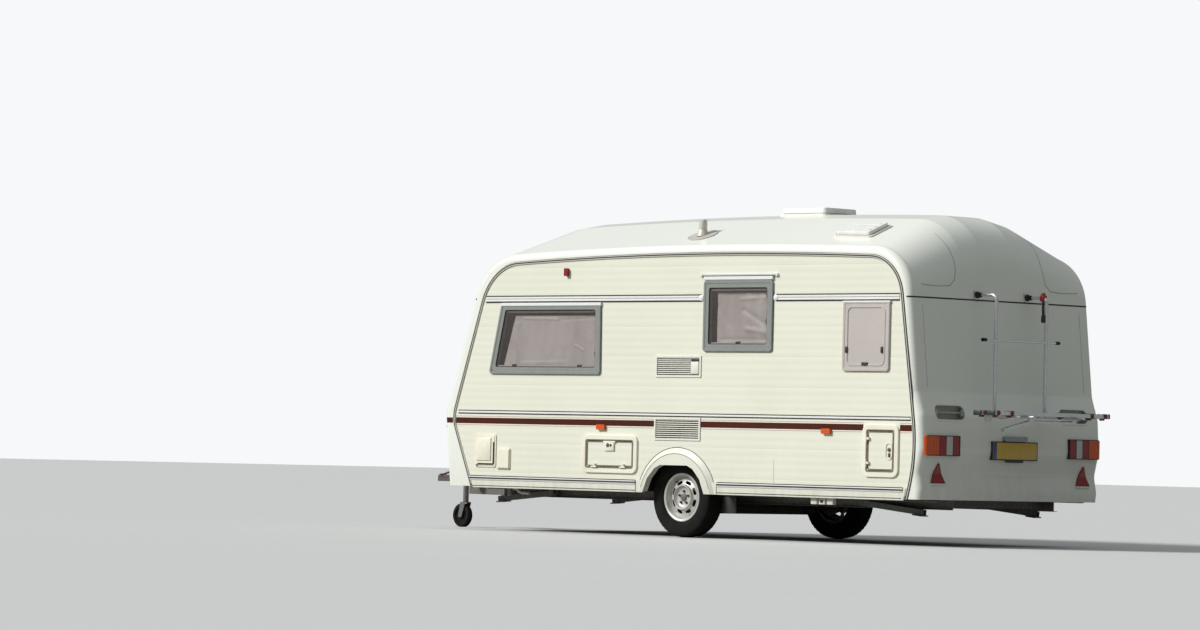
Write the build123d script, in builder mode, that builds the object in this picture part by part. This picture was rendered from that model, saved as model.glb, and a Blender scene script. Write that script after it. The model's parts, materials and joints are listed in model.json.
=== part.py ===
"""Single-axle touring caravan of the early nineties, standing on its two road wheels and its jockey wheel.

Lengths are millimetres. While a piece is drawn, X is measured rearwards from the axle, Y to the right-hand
side and Z up from the ground; keep() then slides every piece along X, so that the stored origin lies on the
ground at the middle of the overall length.
"""
import os
from math import atan2, cos, radians, sin, tan

from build123d import *

os.makedirs("parts", exist_ok=True)

# Overall reach each side of the axle
nose_reach = 3860
tail_reach = 3075
axle_x = (nose_reach - tail_reach) / 2

# Body shell
half_width = 1070
wall = 30
sill_z = 360
floor_thick = 40
seam_z = 1905
edge_round = 60
seat_gap = 0.3
door_gap = 5

# Side outline, along which the awning rail runs
front_foot_x = -2340
front_knee_x, front_knee_z = -2583, 924
front_top_z = 2195
front_rake = 18.6
top_mid_x, top_mid_z = 250, 2267
rear_top_z = 2222
rear_rake = 8.42
rear_knee_x, rear_knee_z = 2576, 710
rear_foot_x = 2483
front_top_radius = 470
rear_top_radius = 350
front_knee_radius = 250
rear_knee_radius = 1300
rail_face = 22
rail_proud = 10

# Front and rear mouldings beyond the side outline
front_stand_off = 118
top_stand_off = 72
bow_foot_x = -2625
bow_knee_z = 960
tail_seam_x, tail_rake = 2470, 6.3
tail_shoulder_z = 1190
tail_top_x, tail_top_z = 2612, 1010
tail_bulge_x, tail_bulge_z = 2630, 745
tail_dip_x, tail_dip_z = 2588, 560
tail_lip_x, tail_lip_z = 2614, 432
tail_foot_x = 2606
crown_top = (half_width - 870, 2603)
crown_bend = (half_width - 640, 2562)
crown_mid_x = 300
crown_front_drop, crown_rear_drop = 62, 34
crown_front_radius = 700
crown_rear_radius = 480

# Windows, vents, lockers and the entrance door
frame_proud = 14
frame_flange = 14
frame_width = 58
frame_corner = 78
glass_thick = 6
glass_recess = 6
blind_thick = 2
blind_margin = 14
locker_proud = 16
locker_frame_width = 50
locker_corner = 60
lid_thick = 26
vent_frame_width = 16
vent_proud = 8
slat_count = 9
slat_depth, slat_thick, slat_tilt = 14, 7, 35
upper_vent_x, upper_vent_z = (-226, 277), (1277, 1449)
lower_vent_x, lower_vent_z = (-226, 283), (773, 955)
mid_locker_x, mid_locker_z = (-1031, -405), (496, 809)
cassette_x, cassette_z = (2019, 2391), (521, 929)
front_window_half, front_window_height = half_width - 290, 560
gas_locker_half, gas_locker_z, gas_locker_corner = half_width - 600, (520, 900), 50
gas_lid_proud = 6
gas_box_depth, gas_box_margin, gas_box_wall = 330, 16, 8
entrance_frame_width, entrance_proud = 30, 10
service_flap_rows = [((-2294, -2045), (521, 795)), ((-2027, -1872), (504, 683))]
flap_proud = 8
entrance_x, entrance_z = (620, 1200), (450, 2090)
entrance_corner = 90
entrance_window_z = (1420, 1900)
entrance_window_margin = 115
knuckle_radius = 7
knuckle_length = 60
knuckle_gap = 0.3
hinge_leaf = 22
leaf_cover = 2

# Wheel arches
arch_x, arch_cut_x = 33, 16
arch_radius, arch_top_z = 444, 715
arch_flare, arch_proud = 44, 26
arch_cut = [(350, 330), (290, 466), (211, 547), (150, 574)]
skirt_low_z, skirt_high_z = 351, 445
skirt_proud = 10
wheel_box_wall = 8
wheel_box_inner_y = half_width - 300
wheel_box_gap = 70

# Running gear
wheel_radius = 320
tyre_width = 185
track_half = half_width - 170
slot_count = 8
slot_circle, slot_length, slot_width = 141, 62, 18
drum_radius = 112
drum_width = 55
drum_step = 12
hub_radius, hub_face = 58, 34
cap_radius, cap_reach, cap_edge = 30, 58, 8
backplate_radius, backplate_thick = 122, 4
stub_radius = 20
stub_reach = 28
stub_clearance = 0.06
swing_arm_lead = 170
swing_arm_width = 46
arm_radius = 30
axle_half = track_half - 165
axle_flat = 90
rail_y = half_width - 470
rail_depth = 78
rail_flange = 45
rail_thick = 4
rail_front_x, rail_rear_x = -2420, 2540
cross_depth = 60
cross_x = (-2100, -700, 1300, 2420)

# Drawbar, coupling and handbrake
drawbar_rear_x, drawbar_rear_y = -1500, rail_y - seat_gap
drawbar_tip_x, drawbar_tip_y = -3420, 55
coupling_z = 418
housing_length = 260
housing_nose = 30
housing_half = 42
housing_foot = 62
housing_base = 12
shaft_radius = 22
bellows_length, bellows_folds, bellows_radius = 130, 6, 35
ball_radius = 25
ball_clearance = 0.5
socket_depth = 34
head_half, head_length = 33, 240
grip_bar_radius = 9
brake_pivot_x, brake_pivot_z = -3300, 478
brake_pin_radius = 8
lever_length, lever_thick, lever_lean = 300, 10, 11
lever_gap, lever_wide, lever_boss = 6, 24, 22
lever_grip_radius, lever_grip_length, lever_grip_over = 15, 100, 20

# Jockey wheel
jockey_x, jockey_y = -3250, 255
jockey_tube_z = (405, 800)
jockey_tube_radius = 30
jockey_inner_radius = 24
tube_clearance = 0.1
jockey_leg_z, jockey_leg_length = 215, 370
jockey_wheel_radius = 100
jockey_wheel_width = 55
jockey_trail = 35
jockey_pin_radius = 8
clamp_half, clamp_high = 24, 62
collar_z, collar_thick = (3, 60), 9
crank_rise, crank_radius, crank_reach = 22, 7, 90
crank_grip_radius, crank_grip_length = 10, 68
fork_plate, fork_half, fork_foot_half, fork_relief = 5, 30, 20, 54
swivel_radius, swivel_depth = 12, 60
# Corners of the jockey wheel's half section: distance from its middle and radius
roller_section = [(27.5, 28), (15.5, 34), (15.5, 62), (27.5, 70), (27.5, 92), (18.5, 100)]

# Corner steadies
steady_y = rail_y + 76
steady_pivot_z = 318
steady_length = 640
steady_rest_drop = 62
steady_width, steady_depth = 40, 44
steady_pin_radius = 8
lug_gap, lug_thick = 0.3, 5
foot_half, foot_thick = 45, 8
spindle_radius, spindle_start, spindle_overhang = 9, 120, 140
steady_rows = [
    ("steady_rear_left", 1680, 1, -1),
    ("steady_rear_right", 1680, 1, 1),
    ("steady_front_left", -1760, -1, -1),
    ("steady_front_right", -1760, -1, 1),
]

# Roof fittings
roof_liner = 22
roof_sink = 20
hatch_flange = 14
hatch_taper = 8
lid_inset = 36
lid_edge = 8
rib_width, rib_rise = 22, 5
skylight_x, skylight_half_y = (270, 790), 215
skylight_lid_height = 62
hatch_x = (1470, 1860)
hatch_y = (200 - half_width, 480 - half_width)
hatch_lid_height = 44
flue_x, flue_y = 0, 270 - half_width
flue_radius = 34
flue_height = 130
flue_base_radius, flue_base_thick = 125, 8
flue_notches, flue_notch, flue_notch_depth = 8, 8, 12

# Rear lamps, plate and handles
lamp_low_z, lamp_high_z = 704, 847
lamp_inner_y, lamp_outer_y = half_width - 410, half_width - 22
lamp_proud = 14
lamp_shares = (0, 0.4, 0.6, 0.8, 1)
lamp_colours = ("amber", "red", "clear", "red")
lens_groove = 3
triangle_proud = 12
marker_x, marker_z = (-820, 1642), 868
marker_half, marker_high, marker_proud, marker_corner = 46, 42, 24, 8
clearance_x, clearance_half, clearance_z, clearance_proud = -1255, 18, (2092, 2156), 30
triangle_y, triangle_z = half_width - 207, (484, 640)
triangle_width = 155
plate_width, plate_z = 545, (675, 820)
plate_proud, plate_lamp, plate_lamp_high = 10, 260, 26
handle_y, handle_z = half_width - 330, 1030
handle_length, handle_height, handle_depth = 340, 110, 26
tray_wall = 4
handle_bar_radius = 9

# Cycle carrier
hoop_y = 300
hoop_radius = 14
hoop_top_z = 1950
hoop_reach = 210
hoop_bend = 45
hoop_low_z = 1010
hoop_foot, hoop_foot_proud = 34, 10
bracket_radius, yoke_reach = 10, 18
cross_tube_z, cross_tube_half, cross_tube_radius = 1600, 460, 11
hinge_x, hinge_z = 2750, 1010
barrel_radius, barrel_gap, barrel_half, carrier_pin_radius = 16, 12, 28, 6
platform_half = 690
platform_rail_x = (2840, 2975)
platform_rail_wide, platform_rail_high, platform_rail_wall = 70, 30, 4
platform_arm_radius = 11
brace_x, brace_half, brace_thick = (2890, 2925), 420, 8


def keep(builder, name):
    """Labels and writes one finished piece, slid so that the origin is the middle of the overall length."""
    builder.part.label = name
    export_step(builder.part.moved(Location((axle_x, 0, 0))), f"parts/{name}.step")


def face_at(y, outward=-1):
    """Vertical drawing plane at one Y, with X to the right and Z up when outward is -1."""
    return Plane(origin=(0, y, 0), x_dir=(1, 0, 0), z_dir=(0, outward, 0))


def both_sides(left):
    """A left-hand piece with its mirror image on the right, as one set of solids."""
    with BuildPart(mode=Mode.PRIVATE) as pair:
        add(left)
        mirror(about=Plane.XZ)
    return pair.part


def rectangle(x, z):
    """Corners of an upright rectangle from its limits, for slab."""
    return [(x[0], z[1]), (x[1], z[1]), (x[1], z[0]), (x[0], z[0])]


def right_of(left):
    """The mirror image of a left-hand piece."""
    with BuildPart(mode=Mode.PRIVATE) as image:
        add(left)
        mirror(about=Plane.XZ, mode=Mode.REPLACE)
    return image.part


def slab(plane, points, radius, low, high, grow=0):
    """Rounded plate of an outline drawn on a plane, between two heights above it, with the outline grown."""
    with BuildPart(mode=Mode.PRIVATE) as plate:
        with BuildSketch(plane.offset(low)) as outline:
            with BuildLine():
                Polyline(*points, close=True)
            make_face()
            if radius:
                fillet(outline.vertices(), radius)
            if grow:
                offset(amount=grow)
        extrude(amount=high - low)
    return plate.part


def box_between(x, y, z):
    """Plain block between pairs of limits."""
    with BuildPart(mode=Mode.PRIVATE) as block:
        with BuildSketch(Plane.XY.offset(z[0])):
            with Locations(((x[0] + x[1]) / 2, (y[0] + y[1]) / 2)):
                Rectangle(abs(x[1] - x[0]), abs(y[1] - y[0]))
        extrude(amount=z[1] - z[0])
    return block.part


def rod(start, end, radius, bore=0):
    """Round bar or tube between two points."""
    start, end = Vector(*start), Vector(*end)
    with BuildPart(mode=Mode.PRIVATE) as bar:
        with BuildSketch(Plane(origin=start, z_dir=end - start)):
            Circle(radius)
            if bore:
                Circle(bore, mode=Mode.SUBTRACT)
        extrude(amount=(end - start).length)
    return bar.part


def combined(*pieces):
    """Several pieces as one part."""
    with BuildPart(mode=Mode.PRIVATE) as whole:
        for piece in pieces:
            add(piece)
    return whole.part


def without(piece, *cutters):
    """A piece with others cut away."""
    with BuildPart(mode=Mode.PRIVATE) as rest:
        add(piece)
        for cutter in cutters:
            add(cutter, mode=Mode.SUBTRACT)
    return rest.part


def within(piece, limits):
    """The share of a piece inside another."""
    with BuildPart(mode=Mode.PRIVATE) as share:
        add(piece)
        add(limits, mode=Mode.INTERSECT)
    return share.part


# Side profiles
def arched_profile(points, top_middle, radii):
    """A closed outline through points, from the front top round the bottom to the rear top, closed over
    the top by a shallow arc. Each point has the rounding radius of the same place in radii."""
    with BuildSketch(mode=Mode.PRIVATE) as outline:
        with BuildLine():
            Polyline(*points)
            ThreePointArc(points[-1], top_middle, points[0])
        make_face()
        for point, radius in zip(points, radii):
            if radius:
                fillet(outline.vertices().sort_by_distance((*point, 0))[0], radius)
    return outline.sketch_local


rake_run = tan(radians(front_rake))
rear_run = tan(radians(rear_rake))
tail_run = tan(radians(tail_rake))


def front_x(z, stand_off=0):
    """X of the raked front at height z, moved out horizontally by stand_off."""
    return front_knee_x - stand_off + rake_run * (z - front_knee_z)


def rear_x(z):
    """X of the side wall's sloping rear edge at height z."""
    return rear_knee_x - rear_run * (z - rear_knee_z)


def tail_x(z):
    """X of the upper rear moulding at height z."""
    return tail_seam_x - tail_run * (z - seam_z)


wall_outline = arched_profile(
    [
        (front_x(front_top_z), front_top_z),
        (front_knee_x, front_knee_z),
        (front_foot_x, sill_z),
        (rear_foot_x, sill_z),
        (rear_knee_x, rear_knee_z),
        (rear_x(rear_top_z), rear_top_z),
    ],
    (top_mid_x, top_mid_z),
    [front_top_radius, front_knee_radius, 0, 0, rear_knee_radius, rear_top_radius],
)
edge_y = half_width - edge_round - 5
side_row = (
    front_top_z + top_stand_off,
    (top_mid_x, top_mid_z + top_stand_off),
    rear_top_z + top_stand_off,
    front_top_radius + edge_round,
    rear_top_radius + edge_round,
)


def shell_outline(inset, foot_z, front_z, middle, rear_z, front_radius, rear_radius):
    """Outline of the body between the side walls at one Y, drawn in by inset all round but the bottom.
    Every section has the same lines and arcs in the same order."""
    outline = arched_profile(
        [
            (front_x(front_z, front_stand_off), front_z),
            (front_x(bow_knee_z, front_stand_off), bow_knee_z),
            (bow_foot_x, foot_z),
            (tail_foot_x, foot_z),
            (tail_lip_x, tail_lip_z),
            (tail_dip_x, tail_dip_z),
            (tail_bulge_x, tail_bulge_z),
            (tail_top_x, tail_top_z),
            (tail_x(tail_shoulder_z), tail_shoulder_z),
            (tail_x(rear_z), rear_z),
        ],
        middle,
        [front_radius, front_knee_radius, 0, 0, 100, 110, 220, 130, 90, rear_radius],
    )
    if inset:
        with BuildSketch(mode=Mode.PRIVATE) as smaller:
            add(outline)
            offset(amount=-inset)
        outline = smaller.sketch_local
    return outline


def rounded_body(inset):
    """The whole body as a solid, drawn in by inset: a middle ruled from one roof section to the next, and
    two strips with rounded edges outside it."""
    foot_z = sill_z if inset == 0 else sill_z - 60
    rows = [(edge_y, side_row)]
    for y, z in (crown_bend, crown_top):
        crown = (crown_mid_x, z)
        rows.append((y, (z - crown_front_drop, crown, z - crown_rear_drop, crown_front_radius, crown_rear_radius)))
    sections = []
    for y, row in [(-y, row) for y, row in rows] + list(reversed(rows)):
        outline = shell_outline(inset, foot_z, *row)
        with BuildSketch(face_at(y), mode=Mode.PRIVATE) as section:
            add(outline)
        sections.append(section.sketch)
    side = shell_outline(inset, foot_z, *side_row)
    with BuildPart(mode=Mode.PRIVATE) as strip:
        with BuildSketch(face_at(-edge_y)):
            add(side)
        extrude(amount=half_width - inset - edge_y)
        rim = strip.faces().sort_by(Axis.Y)[0].edges()
        fillet([edge for edge in rim if edge.center().Z > foot_z + 10], edge_round - inset)
    strips = both_sides(strip.part)
    with BuildPart(mode=Mode.PRIVATE) as body:
        loft(sections, ruled=True)
        add(strips)
    return body.part


outer_body = rounded_body(0)
inner_body = rounded_body(wall)

left_face = face_at(-half_width)
with BuildPart() as left_cheek:
    with BuildSketch(left_face.offset(-wall)):
        add(wall_outline)
    extrude(amount=wall)
right_cheek = right_of(left_cheek.part)


def window(plane, outline):
    """Frame, pane, blind and wall cutter of a window: a proud flange round a liner that goes through the
    wall, the pane set into it, and a blind hanging close behind."""
    flange = slab(plane, outline, frame_corner, 0, frame_proud)
    liner = slab(plane, outline, frame_corner, -wall, 0, grow=-frame_flange)
    hole = slab(plane, outline, frame_corner, -wall - 1, frame_proud + 1, grow=-frame_width)
    pane_top = frame_proud - glass_recess
    pane = slab(plane, outline, frame_corner, pane_top - glass_thick, pane_top, grow=-frame_width - seat_gap)
    blind_top = -wall - seat_gap
    blind = slab(plane, outline, 0, blind_top - blind_thick, blind_top, grow=blind_margin - frame_width)
    cutter = slab(plane, outline, frame_corner, -wall - 1, 1, grow=seat_gap - frame_flange)
    with BuildPart(mode=Mode.PRIVATE) as frame:
        add(flange)
        fillet(frame.faces().sort_by(plane_axis(plane))[-1].edges(), frame_proud * 0.6)
        add(liner)
        add(hole, mode=Mode.SUBTRACT)
    return frame.part, pane, blind, cutter


def plane_axis(plane):
    """Axis along a plane's normal, for sorting faces by height above it."""
    return Axis(plane.origin, plane.z_dir)


def vent(x, z):
    """Louvre of the refrigerator with its wall cutter: a frame over the wall and slats across its opening."""
    outline = rectangle(x, z)
    plate = slab(left_face, outline, 0, 0, vent_proud)
    liner = slab(left_face, outline, 0, -wall, 0, grow=-frame_flange)
    hole = slab(left_face, outline, 0, -wall - 1, vent_proud + 1, grow=-vent_frame_width)
    pitch = (z[1] - z[0] - 2 * vent_frame_width) / slat_count
    slat_length = x[1] - x[0] - 2 * vent_frame_width
    middle = (x[0] + x[1]) / 2
    with BuildPart(mode=Mode.PRIVATE) as louvre:
        add(plate)
        add(liner)
        add(hole, mode=Mode.SUBTRACT)
        for row in range(slat_count):
            slat_z = z[0] + vent_frame_width + pitch * (row + 0.5)
            with Locations(Location((middle, -half_width + slat_depth / 2, slat_z), (-slat_tilt, 0, 0))):
                Box(slat_length + 2, slat_depth, slat_thick)
    cutter = slab(left_face, outline, 0, -wall - 1, 1, grow=seat_gap - frame_flange)
    return louvre.part, cutter


def inset_door(plane, outline, corner, width, proud):
    """Frame, lid and wall cutter of a door in a wall: a proud moulded frame and a lid inside it, with the
    running gap between them."""
    flange = slab(plane, outline, corner, 0, proud)
    liner = slab(plane, outline, corner, -wall, 0, grow=-frame_flange)
    hole = slab(plane, outline, corner, -wall - 1, proud + 1, grow=-width)
    lid = slab(plane, outline, corner, proud * 0.5 - lid_thick, proud * 0.5, grow=-width - door_gap)
    cutter = slab(plane, outline, corner, -wall - 1, 1, grow=seat_gap - frame_flange)
    with BuildPart(mode=Mode.PRIVATE) as frame:
        add(flange)
        fillet(frame.faces().sort_by(plane_axis(plane))[-1].edges(), proud * 0.5)
        add(liner)
        add(hole, mode=Mode.SUBTRACT)
    return frame.part, lid, cutter


def hinge(centre, along, outward, seat_depth, lid_depth, reach):
    """Fixed and moving halves of a butt hinge. Its plane has X along the pin and Z outward, and its Y
    points over the lid. seat_depth and lid_depth are how far the carrying faces lie below the pin."""
    plane = Plane(origin=centre, x_dir=along, z_dir=outward)
    third = knuckle_length / 6
    half = knuckle_length / 2
    with BuildPart(mode=Mode.PRIVATE) as fixed:
        for start in (-half, third):
            with BuildSketch(Plane(origin=plane.from_local_coords((start, 0, 0)), x_dir=plane.y_dir, z_dir=plane.x_dir)):
                Circle(knuckle_radius)
                with Locations((-knuckle_radius / 2, -seat_depth / 2)):
                    Rectangle(knuckle_radius, seat_depth)
            extrude(amount=half - third)
    with BuildPart(mode=Mode.PRIVATE) as moving:
        inner = third - knuckle_gap
        with BuildSketch(Plane(origin=plane.from_local_coords((-inner, 0, 0)), x_dir=plane.y_dir, z_dir=plane.x_dir)):
            Circle(knuckle_radius)
            with Locations((reach / 2, 0)):
                Rectangle(reach, knuckle_radius)
            with Locations(((door_gap + reach) / 2, -(lid_depth + leaf_cover) / 2)):
                Rectangle(reach - door_gap, lid_depth + leaf_cover)
        extrude(amount=2 * inner)
    return fixed.part, moving.part


# Side windows
side_windows = {
    "dinette": [(-2010, 1877), (-855, 1877), (-846, 1290), (-2145, 1290)],
    "kitchen": rectangle((295, 1045), (1481, 2046)),
    "bathroom": rectangle((1791, 2274), (1334, 1879)),
    "bed": rectangle((1480, 2180), (1320, 1877)),
}
made = {name: window(left_face, outline) for name, outline in side_windows.items()}

# The front window lies in the raked front, the gas locker in the nose below it
front_normal = (-cos(radians(front_rake)), 0, sin(radians(front_rake)))
front_mid_z = 1590
front_face = Plane(origin=(front_x(front_mid_z, front_stand_off), 0, front_mid_z), x_dir=(0, -1, 0), z_dir=front_normal)
front_outline = rectangle((-front_window_half, front_window_half), (-front_window_height / 2, front_window_height / 2))
front_window = window(front_face, front_outline)

nose_top_x = front_x(bow_knee_z, front_stand_off)
nose_lean = atan2(bow_foot_x - nose_top_x, bow_knee_z - sill_z)
nose_mid_z = (gas_locker_z[0] + gas_locker_z[1]) / 2
nose_mid_x = bow_foot_x - tan(nose_lean) * (nose_mid_z - sill_z)
nose_face = Plane(origin=(nose_mid_x, 0, nose_mid_z), x_dir=(0, -1, 0), z_dir=(-cos(nose_lean), 0, -sin(nose_lean)))
gas_half_z = (gas_locker_z[1] - gas_locker_z[0]) / 2
gas_outline = rectangle((-gas_locker_half, gas_locker_half), (-gas_half_z, gas_half_z))
gas_lid = slab(nose_face, gas_outline, gas_locker_corner, -lid_thick, gas_lid_proud, grow=-door_gap)
gas_cutter = slab(nose_face, gas_outline, gas_locker_corner, -3 * wall, 3 * wall)

# Doors in the side walls
mid_locker_frame, mid_locker_lid, mid_locker_cutter = inset_door(
    left_face, rectangle(mid_locker_x, mid_locker_z), locker_corner, locker_frame_width, locker_proud)
cassette_frame, cassette_lid_plate, cassette_cutter = inset_door(
    left_face, rectangle(cassette_x, cassette_z), locker_corner, locker_frame_width, locker_proud)
entrance_frame, entrance_plate, entrance_cutter = inset_door(
    left_face, rectangle(entrance_x, entrance_z), entrance_corner, entrance_frame_width, entrance_proud)
upper_vent, upper_vent_cutter = vent(upper_vent_x, upper_vent_z)
lower_vent, lower_vent_cutter = vent(lower_vent_x, lower_vent_z)

# A hinge's leaf reaches over the lid from its pin
hinge_reach = door_gap + hinge_leaf

# Side walls
wheel_cut_points = [(arch_cut_x - x, z) for x, z in arch_cut] + [(arch_cut_x + x, z) for x, z in reversed(arch_cut)]
arch_cutter = slab(left_face, wheel_cut_points, 0, -wall - 1, arch_proud + 1)
with BuildPart() as side_wall_left:
    add(left_cheek.part)
    for name in ("dinette", "kitchen", "bathroom"):
        add(made[name][3], mode=Mode.SUBTRACT)
    for cutter in (mid_locker_cutter, cassette_cutter, upper_vent_cutter, lower_vent_cutter, arch_cutter):
        add(cutter, mode=Mode.SUBTRACT)
keep(side_wall_left, "side_wall_left")

with BuildPart() as side_wall_right:
    add(right_cheek)
    for cutter in (made["dinette"][3], made["bed"][3], entrance_cutter, arch_cutter):
        add(right_of(cutter), mode=Mode.SUBTRACT)
keep(side_wall_right, "side_wall_right")

# Front, rear and roof mouldings
mouldings = without(outer_body, inner_body, left_cheek.part, right_cheek)
above_seam = box_between((-nose_reach, tail_reach), (-2 * half_width, 2 * half_width), (seam_z, 3000))
skylight_hole = box_between(
    (skylight_x[0] + roof_liner, skylight_x[1] - roof_liner),
    (roof_liner - skylight_half_y, skylight_half_y - roof_liner),
    (seam_z, 3000),
)


def roof_z(x, y):
    """Height of the roof skin, read between the side outline and the bend of the crown."""
    side_fall = (side_row[1][1] - side_row[2]) / (tail_x(side_row[2]) - top_mid_x) ** 2
    side_height = side_row[1][1] - side_fall * (x - top_mid_x) ** 2
    bend_fall = crown_rear_drop / (tail_x(crown_bend[1]) - crown_mid_x) ** 2
    bend_height = crown_bend[1] - bend_fall * (x - crown_mid_x) ** 2
    share = (edge_y - abs(y)) / (edge_y - crown_bend[0])
    return side_height + share * (bend_height - side_height)


def roof_plane(x, y):
    """Plane on the left-hand shoulder of the roof, its normal outward and its X rearwards."""
    step = 100
    along = Vector(2 * step, 0, roof_z(x + step, y) - roof_z(x - step, y))
    across = Vector(0, 2 * step, roof_z(x, y + step) - roof_z(x, y - step))
    return Plane(origin=(x, y, roof_z(x, y)), x_dir=along, z_dir=along.cross(across))


hatch_plane = roof_plane((hatch_x[0] + hatch_x[1]) / 2, (hatch_y[0] + hatch_y[1]) / 2)
hatch_half_x = (hatch_x[1] - hatch_x[0]) / 2
hatch_half_y = (hatch_y[1] - hatch_y[0]) / 2
hatch_outline = rectangle((-hatch_half_x, hatch_half_x), (-hatch_half_y, hatch_half_y))
hatch_hole = slab(hatch_plane, hatch_outline, 20, -3 * wall, 3 * wall, grow=-roof_liner)

with BuildPart() as roof_shell:
    add(mouldings)
    add(above_seam, mode=Mode.INTERSECT)
    add(skylight_hole, mode=Mode.SUBTRACT)
    add(hatch_hole, mode=Mode.SUBTRACT)
keep(roof_shell, "roof_shell")

lower_mouldings = without(mouldings, above_seam)
front_half = box_between((-nose_reach, 0), (-2 * half_width, 2 * half_width), (0, 3000))
with BuildPart() as front_panel:
    add(lower_mouldings)
    add(front_half, mode=Mode.INTERSECT)
    add(front_window[3], mode=Mode.SUBTRACT)
    add(gas_cutter, mode=Mode.SUBTRACT)

# Handle recesses in the rear moulding
tail_plane = Plane(origin=(0, 0, 0), x_dir=(0, 1, 0), z_dir=(1, 0, 0))
handle_outline = rectangle(
    (-handle_y - handle_length / 2, -handle_y + handle_length / 2),
    (handle_z - handle_height / 2, handle_z + handle_height / 2),
)
handle_round = handle_height / 2 - 8
deep = tail_top_x - handle_depth - wall
left_recess = slab(tail_plane, handle_outline, handle_round, deep, tail_reach)
left_tray = without(
    slab(tail_plane, handle_outline, handle_round, deep, tail_reach, grow=-seat_gap),
    slab(tail_plane, handle_outline, handle_round, deep + tray_wall, tail_reach + 1, grow=-tray_wall),
)
with BuildPart() as rear_panel:
    add(lower_mouldings)
    add(front_half, mode=Mode.SUBTRACT)
    add(both_sides(left_recess), mode=Mode.SUBTRACT)

handle_bar = rod(
    (deep + tray_wall + handle_depth * 0.7, -handle_y - handle_length / 2 + tray_wall / 2, handle_z),
    (deep + tray_wall + handle_depth * 0.7, -handle_y + handle_length / 2 - tray_wall / 2, handle_z),
    handle_bar_radius,
)
with BuildPart() as grab_handles:
    add(left_tray)
    add(handle_bar)
    add(outer_body, mode=Mode.INTERSECT)
    mirror(about=Plane.XZ)
keep(grab_handles, "grab_handles")

# Gas locker lid, hung from two hinges along its top edge
nose_pin = gas_lid_proud + knuckle_radius + knuckle_gap
gas_hinges = [
    hinge(nose_face.from_local_coords((side * gas_locker_half * 0.6, gas_half_z, nose_pin)), (0, 1, 0),
          nose_face.z_dir, nose_pin + leaf_cover, knuckle_radius + knuckle_gap, hinge_reach)
    for side in (-1, 1)
]
with BuildPart() as gas_locker_lid:
    add(gas_lid)
    for fixed, moving in gas_hinges:
        add(moving)
keep(gas_locker_lid, "gas_locker_lid")

# Open-fronted tray behind the lid, in which the gas bottles stand
tray_back = -wall - gas_box_depth
with BuildPart() as gas_locker_box:
    add(slab(nose_face, gas_outline, gas_locker_corner, tray_back, -wall - seat_gap,
             grow=gas_box_margin + gas_box_wall))
    add(slab(nose_face, gas_outline, gas_locker_corner, tray_back + gas_box_wall, 0, grow=gas_box_margin),
        mode=Mode.SUBTRACT)
keep(gas_locker_box, "gas_locker_box")
with BuildPart(mode=Mode.PRIVATE) as hinged_front:
    add(front_panel.part)
    for fixed, moving in gas_hinges:
        add(fixed)
front_panel = hinged_front
keep(front_panel, "front_panel")
keep(rear_panel, "rear_panel")

# Window frames, panes and blinds of both sides and the front
panes = [made["dinette"][1], made["kitchen"][1], front_window[1], right_of(made["dinette"][1]), right_of(made["bed"][1])]
frames = [made["dinette"][0], made["kitchen"][0], front_window[0], right_of(made["dinette"][0]), right_of(made["bed"][0])]
blinds = [made["dinette"][2], made["kitchen"][2], front_window[2], right_of(made["dinette"][2]), right_of(made["bed"][2])]
for name, pieces in {"window_frames": frames, "window_panes": panes, "window_blinds": blinds}.items():
    with BuildPart() as group:
        for piece in pieces:
            add(piece)
    keep(group, name)

with BuildPart() as bathroom_window:
    add(made["bathroom"][0])
    add(slab(left_face, side_windows["bathroom"], frame_corner, -wall, frame_proud - 2, grow=-frame_width))
keep(bathroom_window, "bathroom_window")

# Side doors and their hinges
side_pin = locker_proud + knuckle_radius + knuckle_gap
mid_hinges = [
    hinge((x, -half_width - side_pin, mid_locker_z[0] + locker_frame_width), (1, 0, 0), (0, -1, 0),
          knuckle_radius + knuckle_gap, side_pin - locker_proud * 0.5, hinge_reach)
    for x in (mid_locker_x[0] + 150, mid_locker_x[1] - 150)
]
cassette_hinges = [
    hinge((cassette_x[0] + locker_frame_width, -half_width - side_pin, z), (0, 0, -1), (0, -1, 0),
          knuckle_radius + knuckle_gap, side_pin - locker_proud * 0.5, hinge_reach)
    for z in (cassette_z[0] + 110, cassette_z[1] - 110)
]
entrance_pin = entrance_proud + knuckle_radius + knuckle_gap
entrance_hinges = [
    hinge((entrance_x[0] + entrance_frame_width, -half_width - entrance_pin, z), (0, 0, -1), (0, -1, 0),
          knuckle_radius + knuckle_gap, entrance_pin - entrance_proud * 0.5, hinge_reach)
    for z in (entrance_z[0] + 200, (entrance_z[0] + entrance_z[1]) / 2, entrance_z[1] - 200)
]
with BuildPart() as door_frames:
    add(mid_locker_frame)
    add(cassette_frame)
    for fixed, moving in mid_hinges + cassette_hinges:
        add(fixed)
    add(right_of(combined(entrance_frame, *[fixed for fixed, moving in entrance_hinges])))
keep(door_frames, "door_frames")
with BuildPart() as locker_lid:
    add(mid_locker_lid)
    for fixed, moving in mid_hinges:
        add(moving)
keep(locker_lid, "locker_lid")

with BuildPart() as cassette_lid:
    add(cassette_lid_plate)
    for fixed, moving in cassette_hinges:
        add(moving)
keep(cassette_lid, "cassette_lid")

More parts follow.
